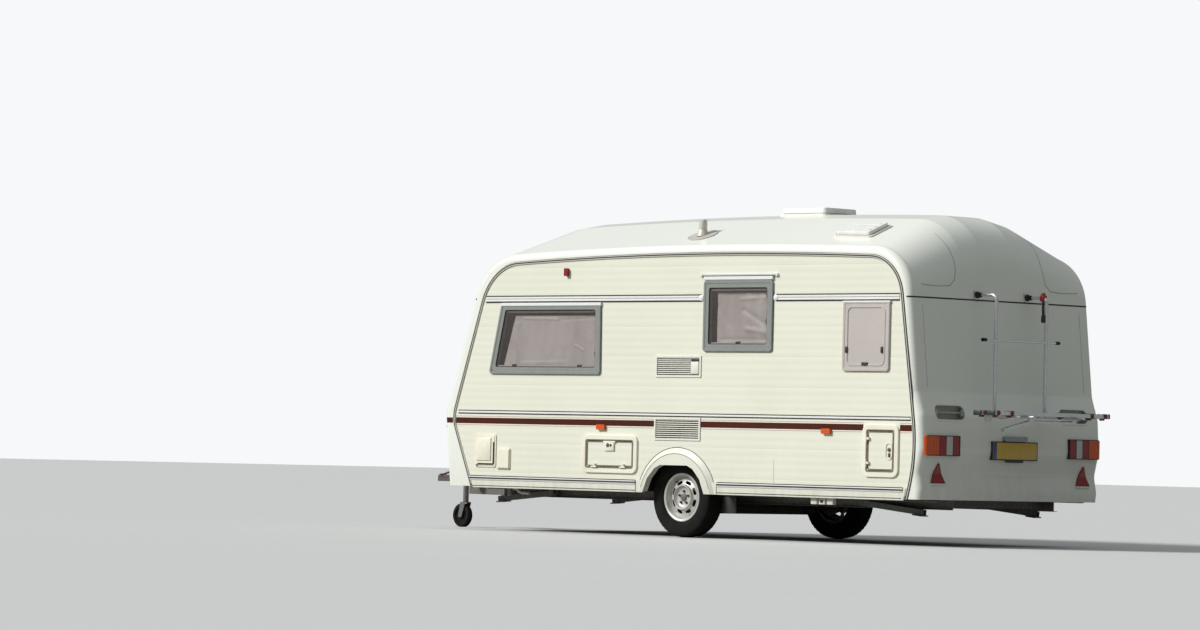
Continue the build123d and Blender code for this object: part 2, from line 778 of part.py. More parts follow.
entrance_glass_x = (entrance_x[0] + entrance_window_margin, entrance_x[1] - entrance_window_margin)
entrance_glass = rectangle(entrance_glass_x, entrance_window_z)
handle_x = entrance_x[1] - entrance_window_margin + 35
door_face = entrance_proud * 0.5
with BuildPart() as entrance_left_drawn:
    add(entrance_plate)
    add(slab(left_face, entrance_glass, 50, -wall - 1, entrance_proud + 1), mode=Mode.SUBTRACT)
    add(slab(left_face, rectangle((handle_x - 22, handle_x + 22), (1150, 1290)), 12, door_face, door_face + 14))
    for fixed, moving in entrance_hinges:
        add(moving)
with BuildPart() as entrance_door:
    add(right_of(entrance_left_drawn.part))
keep(entrance_door, "entrance_door")

door_pane = combined(
    slab(left_face, entrance_glass, 50, door_face - glass_thick, door_face + seat_gap, grow=-seat_gap),
    slab(left_face, entrance_glass, 50, door_face + seat_gap, door_face + 4, grow=12),
)
with BuildPart() as entrance_pane:
    add(right_of(door_pane))
keep(entrance_pane, "entrance_pane")

# Refrigerator louvres and the two small flaps near the front
with BuildPart() as fridge_vents:
    add(upper_vent)
    add(lower_vent)
keep(fridge_vents, "fridge_vents")

with BuildPart() as service_flaps:
    for x, z in service_flap_rows:
        add(slab(left_face, rectangle(x, z), 18, 0, flap_proud))
        add(slab(left_face, rectangle(x, z), 18, flap_proud, flap_proud + 5, grow=-14))
keep(service_flaps, "service_flaps")

# Awning rails follow the whole side outline; skirts and arches close its foot
with BuildPart() as awning_rail_left:
    with BuildSketch(left_face):
        add(wall_outline)
        with BuildSketch(mode=Mode.PRIVATE) as inside:
            add(wall_outline)
            offset(amount=-rail_face)
        add(inside.sketch_local, mode=Mode.SUBTRACT)
    extrude(amount=rail_proud)
    foot_band = box_between(
        (front_foot_x + rail_face * 0.5, rear_foot_x - rail_face * 0.5), (-2 * half_width, 0), (0, sill_z + rail_face + 1)
    )
    add(foot_band, mode=Mode.SUBTRACT)
with BuildPart() as awning_rails:
    add(both_sides(awning_rail_left.part))
keep(awning_rails, "awning_rails")

front_edge_run = (front_knee_x - front_foot_x) / (front_knee_z - sill_z)
rear_edge_run = (rear_knee_x - rear_foot_x) / (rear_knee_z - sill_z)


def foot_x(edge_x, run, z):
    """X of the side outline's lower edge line at height z."""
    return edge_x + run * (z - sill_z)


margin = rail_face * 1.5
skirt_outline = [
    (foot_x(front_foot_x, front_edge_run, skirt_low_z) + margin, skirt_low_z),
    (foot_x(front_foot_x, front_edge_run, skirt_high_z) + margin, skirt_high_z),
    (foot_x(rear_foot_x, rear_edge_run, skirt_high_z) - margin, skirt_high_z),
    (foot_x(rear_foot_x, rear_edge_run, skirt_low_z) - margin, skirt_low_z),
]
arch_centre_z = arch_top_z - arch_radius
with BuildPart() as left_arch:
    for radius, height in ((arch_radius, 0), (arch_radius - arch_flare, arch_proud)):
        with BuildSketch(left_face.offset(height)):
            with Locations((arch_x, arch_centre_z)):
                Circle(radius)
    loft()
    add(box_between((-nose_reach, tail_reach), (-2 * half_width, 0), (-wheel_radius, skirt_low_z)), mode=Mode.SUBTRACT)
with BuildPart() as left_skirt:
    add(slab(left_face, skirt_outline, 0, 0, skirt_proud))
    add(left_arch.part)
    add(slab(left_face, wheel_cut_points, 0, -1, arch_proud + 1), mode=Mode.SUBTRACT)
with BuildPart() as skirts_and_arches:
    add(both_sides(left_skirt.part))
keep(skirts_and_arches, "skirts_and_arches")

# Wheel boxes and floor
box_half = wheel_radius + wheel_box_gap
box_high = 2 * wheel_radius + wheel_box_gap
box_corner = 0.6 * box_half
box_points = [
    (-box_half, sill_z), (-box_half, wheel_radius * 1.7), (-box_corner, box_high),
    (box_corner, box_high), (box_half, wheel_radius * 1.7), (box_half, sill_z),
]
inner_height = half_width - wheel_box_inner_y
with BuildPart() as left_wheel_box:
    add(slab(left_face, box_points, 0, -inner_height - wheel_box_wall, -wall, grow=wheel_box_wall))
    add(slab(left_face, box_points, 0, -inner_height, 1), mode=Mode.SUBTRACT)
    add(box_between((-nose_reach, tail_reach), (-2 * half_width, 0), (0, sill_z)), mode=Mode.SUBTRACT)
with BuildPart() as wheel_boxes:
    add(both_sides(left_wheel_box.part))
keep(wheel_boxes, "wheel_boxes")

floor_cut = box_between(
    (-box_half - wheel_box_wall - seat_gap, box_half + wheel_box_wall + seat_gap),
    (-2 * half_width, -wheel_box_inner_y + wheel_box_wall + seat_gap),
    (0, 2 * sill_z),
)
floor_slab = box_between((-nose_reach, tail_reach), (-half_width, half_width), (sill_z, sill_z + floor_thick))
floor_slab = without(within(floor_slab, inner_body), left_cheek.part, right_cheek)
with BuildPart() as floor_panel:
    add(floor_slab)
    add(both_sides(floor_cut), mode=Mode.SUBTRACT)
keep(floor_panel, "floor_panel")

# Roof fittings stand on the skin, cut to its curve
crown_z = crown_top[1]
skylight_mid_x = (skylight_x[0] + skylight_x[1]) / 2
skylight_half_x = (skylight_x[1] - skylight_x[0]) / 2
skylight_plane = Plane(origin=(skylight_mid_x, 0, crown_z), x_dir=(1, 0, 0), z_dir=(0, 0, 1))
skylight_outline = rectangle((-skylight_half_x, skylight_half_x), (-skylight_half_y, skylight_half_y))


def roof_hatch(plane, outline, corner, hole, lid_height, rib_rows):
    """Frame and lid of a roof hatch: a flange on the skin with a liner through it, and a domed lid that
    shuts over the flange, with raised ribs across its top."""
    half_x, half_y = outline[1][0], outline[0][1]
    with BuildPart(mode=Mode.PRIVATE) as frame:
        add(slab(plane, outline, corner, -roof_sink, hatch_flange))
        add(outer_body, mode=Mode.SUBTRACT)
        add(slab(plane, outline, corner, -wall - roof_sink, hatch_flange, grow=-roof_liner - seat_gap))
        add(slab(plane, outline, corner, -2 * wall, 2 * hatch_flange, grow=-2 * roof_liner), mode=Mode.SUBTRACT)
    base = hatch_flange + door_gap
    with BuildPart(mode=Mode.PRIVATE) as lid:
        with BuildSketch(plane.offset(base)) as foot:
            RectangleRounded(2 * half_x - lid_inset, 2 * half_y - lid_inset, corner)
        extrude(amount=lid_height - base, taper=hatch_taper)
        top = lid.faces().sort_by(plane_axis(plane))[-1]
        fillet(top.edges(), lid_edge)
        for row in range(rib_rows):
            across = (row + 0.5) / rib_rows * 2 - 1
            with BuildSketch(plane.offset(lid_height - 1)):
                with Locations((0, across * half_y * 0.7)):
                    SlotOverall(1.5 * half_x, rib_width)
            extrude(amount=rib_rise)
    pin_height = hatch_flange + knuckle_radius + knuckle_gap
    pin_x = -half_x + lid_inset / 2 - knuckle_radius - leaf_cover
    hinges = [
        hinge(plane.from_local_coords((pin_x, side * half_y * 0.6, pin_height)), plane.y_dir * -1,
              plane.z_dir, knuckle_radius + knuckle_gap, knuckle_radius - door_gap, hinge_reach)
        for side in (-1, 1)
    ]
    fixed_half = combined(frame.part, *[fixed for fixed, moving in hinges])
    moving_half = combined(lid.part, *[moving for fixed, moving in hinges])
    return fixed_half, moving_half


skylight_frame, skylight_top = roof_hatch(
    skylight_plane, skylight_outline, 40, skylight_hole, skylight_lid_height, 4)
hatch_frame, hatch_top = roof_hatch(hatch_plane, hatch_outline, 25, hatch_hole, hatch_lid_height, 3)
with BuildPart() as roof_hatch_frames:
    add(skylight_frame)
    add(hatch_frame)
keep(roof_hatch_frames, "roof_hatch_frames")
with BuildPart() as skylight_lid:
    add(skylight_top)
keep(skylight_lid, "skylight_lid")
with BuildPart() as roof_hatch_lid:
    add(hatch_top)
keep(roof_hatch_lid, "roof_hatch_lid")

flue_base_plane = roof_plane(flue_x, flue_y)
flue_top_z = roof_z(flue_x, flue_y) + flue_height
with BuildPart() as flue_cowl:
    with BuildSketch(flue_base_plane.offset(-roof_sink)):
        Circle(flue_base_radius)
    extrude(amount=roof_sink + flue_base_thick)
    with BuildSketch(Plane.XY.offset(roof_z(flue_x, flue_y) + flue_base_thick - roof_sink / 2)):
        with Locations((flue_x, flue_y)):
            Circle(flue_radius + 16)
    extrude(amount=flue_height * 0.4, taper=18)
    with BuildSketch(Plane.XY.offset(roof_z(flue_x, flue_y) + flue_base_thick)):
        with Locations((flue_x, flue_y)):
            Circle(flue_radius)
    extrude(amount=flue_height - flue_base_thick)
    add(outer_body, mode=Mode.SUBTRACT)
    with BuildSketch(Plane.XY.offset(flue_top_z)):
        with Locations((flue_x, flue_y)):
            Circle(flue_radius - 4)
    extrude(amount=-flue_height * 0.5, mode=Mode.SUBTRACT)
    for turn in range(flue_notches // 2):
        with BuildSketch(Plane.XY.offset(flue_top_z)):
            with Locations(Location((flue_x, flue_y, 0), (0, 0, 360 * turn / flue_notches))):
                Rectangle(3 * flue_radius, flue_notch)
        extrude(amount=-flue_notch_depth, mode=Mode.SUBTRACT)
keep(flue_cowl, "flue_cowl")


def lamp_block(y_range, z_range, proud, corner=0):
    """Lens on the left of the rear moulding, from its skin out to a flat face, with a rounded outer edge."""
    block = box_between((tail_bulge_x - 6 * wall, tail_bulge_x + proud), y_range, z_range)
    with BuildPart(mode=Mode.PRIVATE) as lens:
        add(block)
        if corner:
            outer_edge = lens.edges().filter_by(Axis.Z).sort_by(Axis.X)[-2:].sort_by(Axis.Y)[0]
            fillet(outer_edge, corner)
        add(outer_body, mode=Mode.SUBTRACT)
        add(box_between((0, tail_bulge_x - 2 * wall), (-2 * half_width, 2 * half_width), (0, 3000)), mode=Mode.SUBTRACT)
    return lens.part


lens_y = [-lamp_outer_y + share * (lamp_outer_y - lamp_inner_y) for share in lamp_shares]
lens_rows = []
for index, colour in enumerate(lamp_colours):
    lens_range = (lens_y[index] + lens_groove / 2, lens_y[index + 1] - lens_groove / 2)
    lens_rows.append((colour, lamp_block(lens_range, (lamp_low_z, lamp_high_z), lamp_proud, 0 if index else 34)))
triangle = [
    (-triangle_y - triangle_width / 2, triangle_z[0]),
    (-triangle_y + triangle_width / 2, triangle_z[0]),
    (-triangle_y, triangle_z[1]),
]
triangle_prism = without(slab(tail_plane, triangle, 8, tail_dip_x - wall, tail_dip_x + triangle_proud), outer_body)
marker_range = (marker_z - marker_high / 2, marker_z + marker_high / 2)
markers = [
    slab(left_face, rectangle((x - marker_half, x + marker_half), marker_range), marker_corner, 0, marker_proud)
    for x in marker_x
]
clearance_range = (clearance_x - clearance_half, clearance_x + clearance_half)
clearance = slab(left_face, rectangle(clearance_range, clearance_z), marker_corner, 0, clearance_proud)
lamp_groups = {
    "lamps_amber": markers + [lens for colour, lens in lens_rows if colour == "amber"],
    "lamps_red": [clearance, triangle_prism] + [lens for colour, lens in lens_rows if colour == "red"],
    "lamps_clear": [lens for colour, lens in lens_rows if colour == "clear"],
}
for name, pieces in lamp_groups.items():
    with BuildPart() as group:
        for piece in pieces:
            add(piece)
        mirror(about=Plane.XZ)
    keep(group, name)

with BuildPart() as plate_holder:
    add(box_between((tail_bulge_x - wall, tail_bulge_x + plate_proud), (-plate_width / 2, plate_width / 2), plate_z))
    add(box_between((tail_bulge_x - wall, tail_bulge_x + 2 * plate_proud), (-plate_lamp / 2, plate_lamp / 2),
                    (plate_z[1] + plate_proud, plate_z[1] + plate_proud + plate_lamp_high)))
    add(box_between((tail_bulge_x - wall, tail_bulge_x + plate_proud / 2), (-plate_lamp / 2, plate_lamp / 2),
                    (plate_z[1] - 1, plate_z[1] + plate_proud + 1)))
    add(outer_body, mode=Mode.SUBTRACT)
keep(plate_holder, "plate_holder")


# Chassis: channel rails, cross members and the drawbar below the floor
def channel(start, end, depth, flange, thick, open_side):
    """Level steel channel between two points at the top of its web, open to one side."""
    start, end = Vector(*start), Vector(*end)
    run = end - start
    plane = Plane(origin=start, x_dir=Vector(0, 0, 1).cross(run), z_dir=run)
    with BuildPart(mode=Mode.PRIVATE) as beam:
        with BuildSketch(plane):
            with Locations((open_side * flange / 2, -plane.y_dir.Z * depth / 2)):
                Rectangle(flange, depth)
            with Locations((open_side * (flange / 2 + thick), -plane.y_dir.Z * depth / 2)):
                Rectangle(flange, depth - 2 * thick, mode=Mode.SUBTRACT)
        extrude(amount=run.length)
    return beam.part


left_rail = channel(
    (rail_front_x, -rail_y, sill_z), (rail_rear_x, -rail_y, sill_z), rail_depth, rail_flange, rail_thick, -1)
with BuildPart() as chassis_rails:
    add(left_rail)
    mirror(about=Plane.XZ)
keep(chassis_rails, "chassis_rails")


def drawbar_y(x):
    """Distance of the drawbar's outer face from the middle at X."""
    share = (x - drawbar_rear_x) / (drawbar_tip_x - drawbar_rear_x)
    return drawbar_rear_y + share * (drawbar_tip_y - drawbar_rear_y)


left_member = channel(
    (drawbar_rear_x, -drawbar_rear_y, sill_z), (drawbar_tip_x, -drawbar_tip_y, sill_z),
    rail_depth, rail_flange, rail_thick, -1)
with BuildPart() as drawbar:
    add(left_member)
    mirror(about=Plane.XZ)
keep(drawbar, "drawbar")

member_space = slab(
    Plane.XY,
    [(drawbar_rear_x, -drawbar_rear_y), (drawbar_tip_x, -drawbar_tip_y),
     (drawbar_tip_x, -drawbar_tip_y + rail_flange * 1.1), (drawbar_rear_x, -drawbar_rear_y + rail_flange * 1.1)],
    0, sill_z - rail_depth, sill_z)
with BuildPart() as cross_members:
    for x in cross_x:
        add(channel((x, -rail_y, sill_z), (x, rail_y, sill_z), cross_depth, rail_flange, rail_thick, 1))
    add(both_sides(member_space), mode=Mode.SUBTRACT)
keep(cross_members, "cross_members")

# Axle: six-sided tube below the rails, trailing arms with stub shafts and brake back plates
axle_z = sill_z - rail_depth - axle_flat / 2
hub_z = wheel_radius
with BuildPart() as axle:
    with BuildSketch(face_at(0)):
        with Locations((-swing_arm_lead, axle_z)):
            RegularPolygon(radius=axle_flat / 2, side_count=6, major_radius=False)
    extrude(amount=axle_half, both=True)
    with BuildSketch(face_at(-axle_half)):
        with BuildLine():
            Line((-swing_arm_lead, axle_z), (0, hub_z))
        trace(line_width=2 * arm_radius)
        with Locations((-swing_arm_lead, axle_z), (0, hub_z)):
            Circle(arm_radius)
    extrude(amount=swing_arm_width)
    with BuildSketch(face_at(-axle_half - swing_arm_width)):
        with Locations((0, hub_z)):
            Circle(backplate_radius)
    extrude(amount=backplate_thick)
    with BuildSketch(face_at(-axle_half - swing_arm_width)):
        with Locations((0, hub_z)):
            Circle(stub_radius)
    extrude(amount=track_half + stub_reach - axle_half - swing_arm_width)
    mirror(about=Plane.XZ)
keep(axle, "axle")

# Wheels: outboard distance from the mid-plane and radius of each corner of the sections
barrel_section = [
    (-73, 195), (-68, 195), (-66, 181), (-44, 178), (-28, 162), (20, 162), (38, 178), (66, 181), (68, 195),
    (75, 195), (73, 177), (46, 172), (24, 156), (-32, 156), (-50, 172), (-71, 176),
]
disc_section = [
    (14, 158), (22, 140), (26, 120), (16, 101), (14, 92), (34, 75), (38, 62), (38, 20), (33, 20), (33, 60),
    (29, 72), (9, 91), (11, 102), (21, 119), (17, 139), (9, 158),
]
wheel_plane = Plane(origin=(0, -track_half, hub_z), x_dir=(0, -1, 0), z_dir=(-1, 0, 0))
wheel_axis = Axis((0, -track_half, hub_z), (0, 1, 0))
drum_inner = axle_half + swing_arm_width + backplate_thick + door_gap - track_half
drum_section = [
    (drum_inner, stub_radius + stub_clearance), (drum_inner, drum_radius), (drum_inner + drum_width, drum_radius),
    (drum_inner + drum_width + drum_step, hub_radius), (hub_face, hub_radius),
    (hub_face, stub_radius + stub_clearance),
]
cap_section = [
    (hub_face, 0), (hub_face, cap_radius), (cap_reach - cap_edge, cap_radius),
    (cap_reach - cap_edge / 4, cap_radius - cap_edge), (cap_reach, 0),
]
with BuildPart() as rim_left:
    for section in (barrel_section, disc_section, drum_section, cap_section):
        with BuildSketch(wheel_plane):
            with BuildLine():
                Polyline(*section, close=True)
            make_face()
        revolve(axis=wheel_axis)
    with BuildSketch(Plane(origin=(0, -track_half, hub_z), x_dir=(1, 0, 0), z_dir=(0, -1, 0))):
        with PolarLocations(slot_circle, slot_count):
            SlotOverall(slot_length, slot_width, rotation=90)
    extrude(amount=cap_reach, mode=Mode.SUBTRACT)
keep(rim_left, "rim_left")

# Half section of the tyre, from the bead's toe to the tread's edge
bead_toe, bead_heel, bead_lip = (64, 181.2), (66, 194.5), (74, 199.5)
tyre_waist, tyre_shoulder, tread_edge = (tyre_width / 2, 248), (82, 300), (72, 314)
with BuildPart() as tyre_left:
    with BuildSketch(wheel_plane):
        with BuildLine():
            Polyline((0, bead_toe[1]), bead_toe, bead_heel, bead_lip)
            ThreePointArc(bead_lip, tyre_waist, tyre_shoulder)
            Line(tyre_shoulder, tread_edge)
            ThreePointArc(tread_edge, (0, wheel_radius), (-tread_edge[0], tread_edge[1]))
            Line((-tread_edge[0], tread_edge[1]), (-tyre_shoulder[0], tyre_shoulder[1]))
            ThreePointArc(
                (-tyre_shoulder[0], tyre_shoulder[1]), (-tyre_waist[0], tyre_waist[1]), (-bead_lip[0], bead_lip[1]))
            Polyline((-bead_lip[0], bead_lip[1]), (-bead_heel[0], bead_heel[1]), (-bead_toe[0], bead_toe[1]),
                     (0, bead_toe[1]))
        make_face()
    revolve(axis=wheel_axis)
keep(tyre_left, "tyre_left")
for name, piece in {"rim_right": rim_left, "tyre_right": tyre_left}.items():
    with BuildPart() as copy_right:
        add(right_of(piece.part))
    keep(copy_right, name)


# Corner steadies with their brackets and screw spindles
def steady(pivot_x, way, side):
    """Folded leg and its bracket; way is 1 where the foot lies behind the pivot, side is -1 on the left."""
    plane = Plane(origin=(pivot_x, side * steady_y, steady_pivot_z), x_dir=(way, 0, 0), z_dir=(0, -way, 0))
    tilted = Plane(origin=plane.origin, x_dir=(way * steady_length, 0, -steady_rest_drop), z_dir=plane.z_dir)
    half = steady_width / 2
    with BuildPart(mode=Mode.PRIVATE) as leg:
        with BuildSketch(tilted.offset(-half)):
            with Locations((steady_length / 2, 0)):
                Rectangle(steady_length, steady_depth)
            Circle(steady_depth / 2)
        extrude(amount=steady_width)
        with BuildSketch(tilted.offset(-half + rail_thick)):
            with Locations((steady_length / 2 + steady_depth, rail_thick)):
                Rectangle(steady_length, steady_depth)
        extrude(amount=steady_width - 2 * rail_thick, mode=Mode.SUBTRACT)
        with BuildSketch(tilted.offset(-foot_half)):
            with Locations((steady_length - foot_half, -steady_depth / 2 - foot_thick / 2 + 1)):
                Rectangle(2 * foot_half, foot_thick)
        extrude(amount=2 * foot_half)
        with BuildSketch(plane.offset(-half - 1)):
            Circle(steady_pin_radius + stub_clearance)
        extrude(amount=steady_width + 2, mode=Mode.SUBTRACT)
    lug_high = sill_z - steady_pivot_z
    with BuildPart(mode=Mode.PRIVATE) as bracket:
        for low in (-half - lug_gap - lug_thick, half + lug_gap):
            with BuildSketch(plane.offset(low)):
                Circle(steady_depth / 2)
                with Locations((0, lug_high / 2)):
                    Rectangle(steady_depth, lug_high)
            extrude(amount=lug_thick)
        with BuildSketch(plane.offset(-half - lug_gap - lug_thick)):
            with Locations((0, lug_high - lug_thick / 2)):
                Rectangle(3 * steady_depth, lug_thick)
            Circle(steady_pin_radius)
        extrude(amount=steady_width + 2 * lug_gap + 2 * lug_thick)
        spindle_z = lug_high - spindle_radius - lug_thick
        spindle_end = steady_length + spindle_overhang
        add(rod(plane.from_local_coords((spindle_start, spindle_z, 0)),
                plane.from_local_coords((spindle_end, spindle_z, 0)), spindle_radius))
        for x in (spindle_start + 2 * spindle_radius, steady_length):
            with BuildSketch(plane.offset(-spindle_radius)):
                with Locations((x, (lug_high + spindle_z) / 2)):
                    Rectangle(3 * spindle_radius, lug_high - spindle_z)
            extrude(amount=2 * spindle_radius)
    return leg.part, bracket.part


brackets = []
for name, pivot_x, way, side in steady_rows:
    leg, bracket = steady(pivot_x, way, side)
    brackets.append(bracket)
    with BuildPart() as steady_leg:
        add(leg)
    keep(steady_leg, name)
with BuildPart() as steady_brackets:
    for bracket in brackets:
        add(bracket)
keep(steady_brackets, "steady_brackets")

# Coupling: overrun housing on the drawbar's tip, bellows, and the ball socket
with BuildPart() as overrun_housing:
    add(box_between((drawbar_tip_x, drawbar_tip_x + housing_length), (-housing_foot, housing_foot),
                    (sill_z, sill_z + housing_base)))
    add(box_between((drawbar_tip_x, drawbar_tip_x + housing_length), (-housing_half * 0.7, housing_half * 0.7),
                    (sill_z, coupling_z)))
    add(rod((drawbar_tip_x - housing_nose, 0, coupling_z), (drawbar_tip_x + housing_length, 0, coupling_z),
            housing_half))
    add(rod((brake_pivot_x, 0, brake_pivot_z),
            (brake_pivot_x, housing_foot + lever_thick + lever_gap + brake_pin_radius, brake_pivot_z), brake_pin_radius))
    add(box_between((brake_pivot_x - lever_wide, brake_pivot_x + lever_wide), (0, housing_foot),
                    (sill_z, brake_pivot_z + 2 * brake_pin_radius)))
keep(overrun_housing, "overrun_housing")

bellows_rear_x = drawbar_tip_x - housing_nose
bellows_pitch = bellows_length / bellows_folds
bellows_profile = [(bellows_rear_x, shaft_radius + seat_gap)]
for fold in range(bellows_folds):
    start = bellows_rear_x - fold * bellows_pitch
    bellows_profile += [(start, bellows_radius - 6), (start - bellows_pitch / 2, bellows_radius)]
bellows_front_x = bellows_rear_x - bellows_length
bellows_profile += [(bellows_front_x, bellows_radius - 6), (bellows_front_x, shaft_radius + seat_gap)]
with BuildPart() as coupling_bellows:
    with BuildSketch(Plane(origin=(0, 0, coupling_z), x_dir=(1, 0, 0), z_dir=(0, -1, 0))):
        with BuildLine():
            Polyline(*bellows_profile, close=True)
        make_face()
    revolve(axis=Axis((0, 0, coupling_z), (1, 0, 0)))
keep(coupling_bellows, "coupling_bellows")

ball_x = -nose_reach + head_half
socket_top_z = coupling_z
with BuildPart() as coupling_head:
    add(rod((bellows_rear_x, 0, coupling_z), (ball_x + head_half, 0, coupling_z), shaft_radius))
    with BuildSketch(Plane.XY.offset(socket_top_z - socket_depth)):
        with Locations((ball_x + head_length / 2 - head_half, 0)):
            SlotOverall(head_length, 2 * head_half)
    extrude(amount=socket_depth + 10)
    with Locations((ball_x, 0, socket_top_z)):
        Sphere(head_half - 1)
    with BuildSketch(Plane.XY.offset(socket_top_z - socket_depth)):
        with Locations((ball_x, 0)):
            Circle(ball_radius + ball_clearance)
    extrude(amount=socket_depth, mode=Mode.SUBTRACT)
    with Locations((ball_x, 0, socket_top_z)):
        Sphere(ball_radius + ball_clearance, mode=Mode.SUBTRACT)
    add(rod((ball_x + head_half / 2, 0, socket_top_z + head_half - grip_bar_radius),
            (ball_x + head_length * 0.7, 0, socket_top_z + 2 * head_half), grip_bar_radius))
keep(coupling_head, "coupling_head")

lean = radians(lever_lean)
lever_end = (brake_pivot_x + lever_length * cos(lean), brake_pivot_z + lever_length * sin(lean))
lever_y = housing_foot + lever_gap + lever_thick / 2
lever_plane = face_at(lever_y + lever_thick / 2)
with BuildPart() as handbrake_lever:
    with BuildSketch(lever_plane):
        with BuildLine():
            Line((brake_pivot_x, brake_pivot_z), lever_end)
        trace(line_width=lever_wide)
        with Locations((brake_pivot_x, brake_pivot_z)):
            Circle(lever_boss)
    extrude(amount=lever_thick)
    add(rod(
        (lever_end[0] - lever_grip_length * cos(lean), lever_y, lever_end[1] - lever_grip_length * sin(lean)),
        (lever_end[0] + lever_grip_over, lever_y, lever_end[1] + lever_grip_over * tan(lean)), lever_grip_radius))
    add(rod((brake_pivot_x, housing_foot, brake_pivot_z), (brake_pivot_x, 2 * housing_foot, brake_pivot_z),
            brake_pin_radius + stub_clearance), mode=Mode.SUBTRACT)
keep(handbrake_lever, "handbrake_lever")

# Jockey wheel on the drawbar's left side
jockey_spot = (jockey_x, -jockey_y)
leg_top_z = jockey_leg_z + jockey_leg_length
crank_z = jockey_tube_z[1] + crank_rise
with BuildPart() as jockey_clamp:
    add(box_between((jockey_x - clamp_half, jockey_x + clamp_half),
                    (-jockey_y, -drawbar_y(jockey_x) + 2 * rail_flange / 3), (sill_z, sill_z + clamp_high)))
    # The arm is hollowed below the tube, where the fork comes when it is wound up
    add(rod((*jockey_spot, sill_z - 1), (*jockey_spot, jockey_tube_z[0]), fork_relief), mode=Mode.SUBTRACT)
    add(rod((*jockey_spot, jockey_tube_z[0]), (*jockey_spot, jockey_tube_z[1]), jockey_tube_radius))
    add(rod((*jockey_spot, jockey_tube_z[0] + collar_z[0]), (*jockey_spot, jockey_tube_z[0] + collar_z[1]),
            jockey_tube_radius + collar_thick))
    add(rod((*jockey_spot, sill_z - 1), (*jockey_spot, jockey_tube_z[1] - collar_thick),
            jockey_inner_radius + tube_clearance), mode=Mode.SUBTRACT)
    add(rod((*jockey_spot, jockey_tube_z[1] - 1), (*jockey_spot, crank_z), crank_radius + 2))
    add(rod((jockey_x - crank_radius, -jockey_y, crank_z), (jockey_x + crank_reach, -jockey_y, crank_z), crank_radius))
    add(rod((jockey_x + crank_reach, -jockey_y, crank_z - crank_radius),
            (jockey_x + crank_reach, -jockey_y, crank_z + crank_grip_length), crank_grip_radius))
keep(jockey_clamp, "jockey_clamp")

with BuildPart() as jockey_leg:
    add(rod((*jockey_spot, jockey_leg_z), (*jockey_spot, leg_top_z), jockey_inner_radius))
    add(rod((*jockey_spot, jockey_leg_z - 1), (*jockey_spot, jockey_leg_z + swivel_depth + 2),
            swivel_radius + stub_clearance), mode=Mode.SUBTRACT)
keep(jockey_leg, "jockey_leg")

fork_top_z = jockey_leg_z - seat_gap
fork_arm_y = jockey_wheel_width / 2 + door_gap
wheel_x = jockey_x - jockey_trail
fork_points = [
    (jockey_x - fork_half, fork_top_z), (jockey_x + fork_half, fork_top_z),
    (wheel_x + fork_foot_half, jockey_wheel_radius - 2 * jockey_pin_radius),
    (wheel_x - fork_foot_half, jockey_wheel_radius - 2 * jockey_pin_radius),
]
with BuildPart() as jockey_fork:
    add(rod((*jockey_spot, fork_top_z), (*jockey_spot, jockey_leg_z + swivel_depth), swivel_radius))
    add(rod((*jockey_spot, fork_top_z - fork_plate - 2), (*jockey_spot, fork_top_z), fork_arm_y + fork_plate))
    for low_y in (-jockey_y - fork_arm_y - fork_plate, -jockey_y + fork_arm_y):
        add(slab(face_at(low_y + fork_plate), fork_points, 10, 0, fork_plate))
    add(rod((wheel_x, -jockey_y - fork_arm_y - 3, jockey_wheel_radius),
            (wheel_x, -jockey_y + fork_arm_y + 3, jockey_wheel_radius), jockey_pin_radius))
keep(jockey_fork, "jockey_fork")

bore_radius = jockey_pin_radius + stub_clearance
near_half = [(-jockey_wheel_width / 2, bore_radius)] + [(-half, radius) for half, radius in roller_section]
far_half = [(half, radius) for half, radius in reversed(roller_section)] + [(jockey_wheel_width / 2, bore_radius)]
roller_plane = Plane(origin=(wheel_x, -jockey_y, jockey_wheel_radius), x_dir=(0, -1, 0), z_dir=(-1, 0, 0))
with BuildPart() as jockey_wheel:
    with BuildSketch(roller_plane):
        with BuildLine():
            Polyline(*near_half, *far_half, close=True)
        make_face()
    revolve(axis=Axis((wheel_x, -jockey_y, jockey_wheel_radius), (0, 1, 0)))
keep(jockey_wheel, "jockey_wheel")

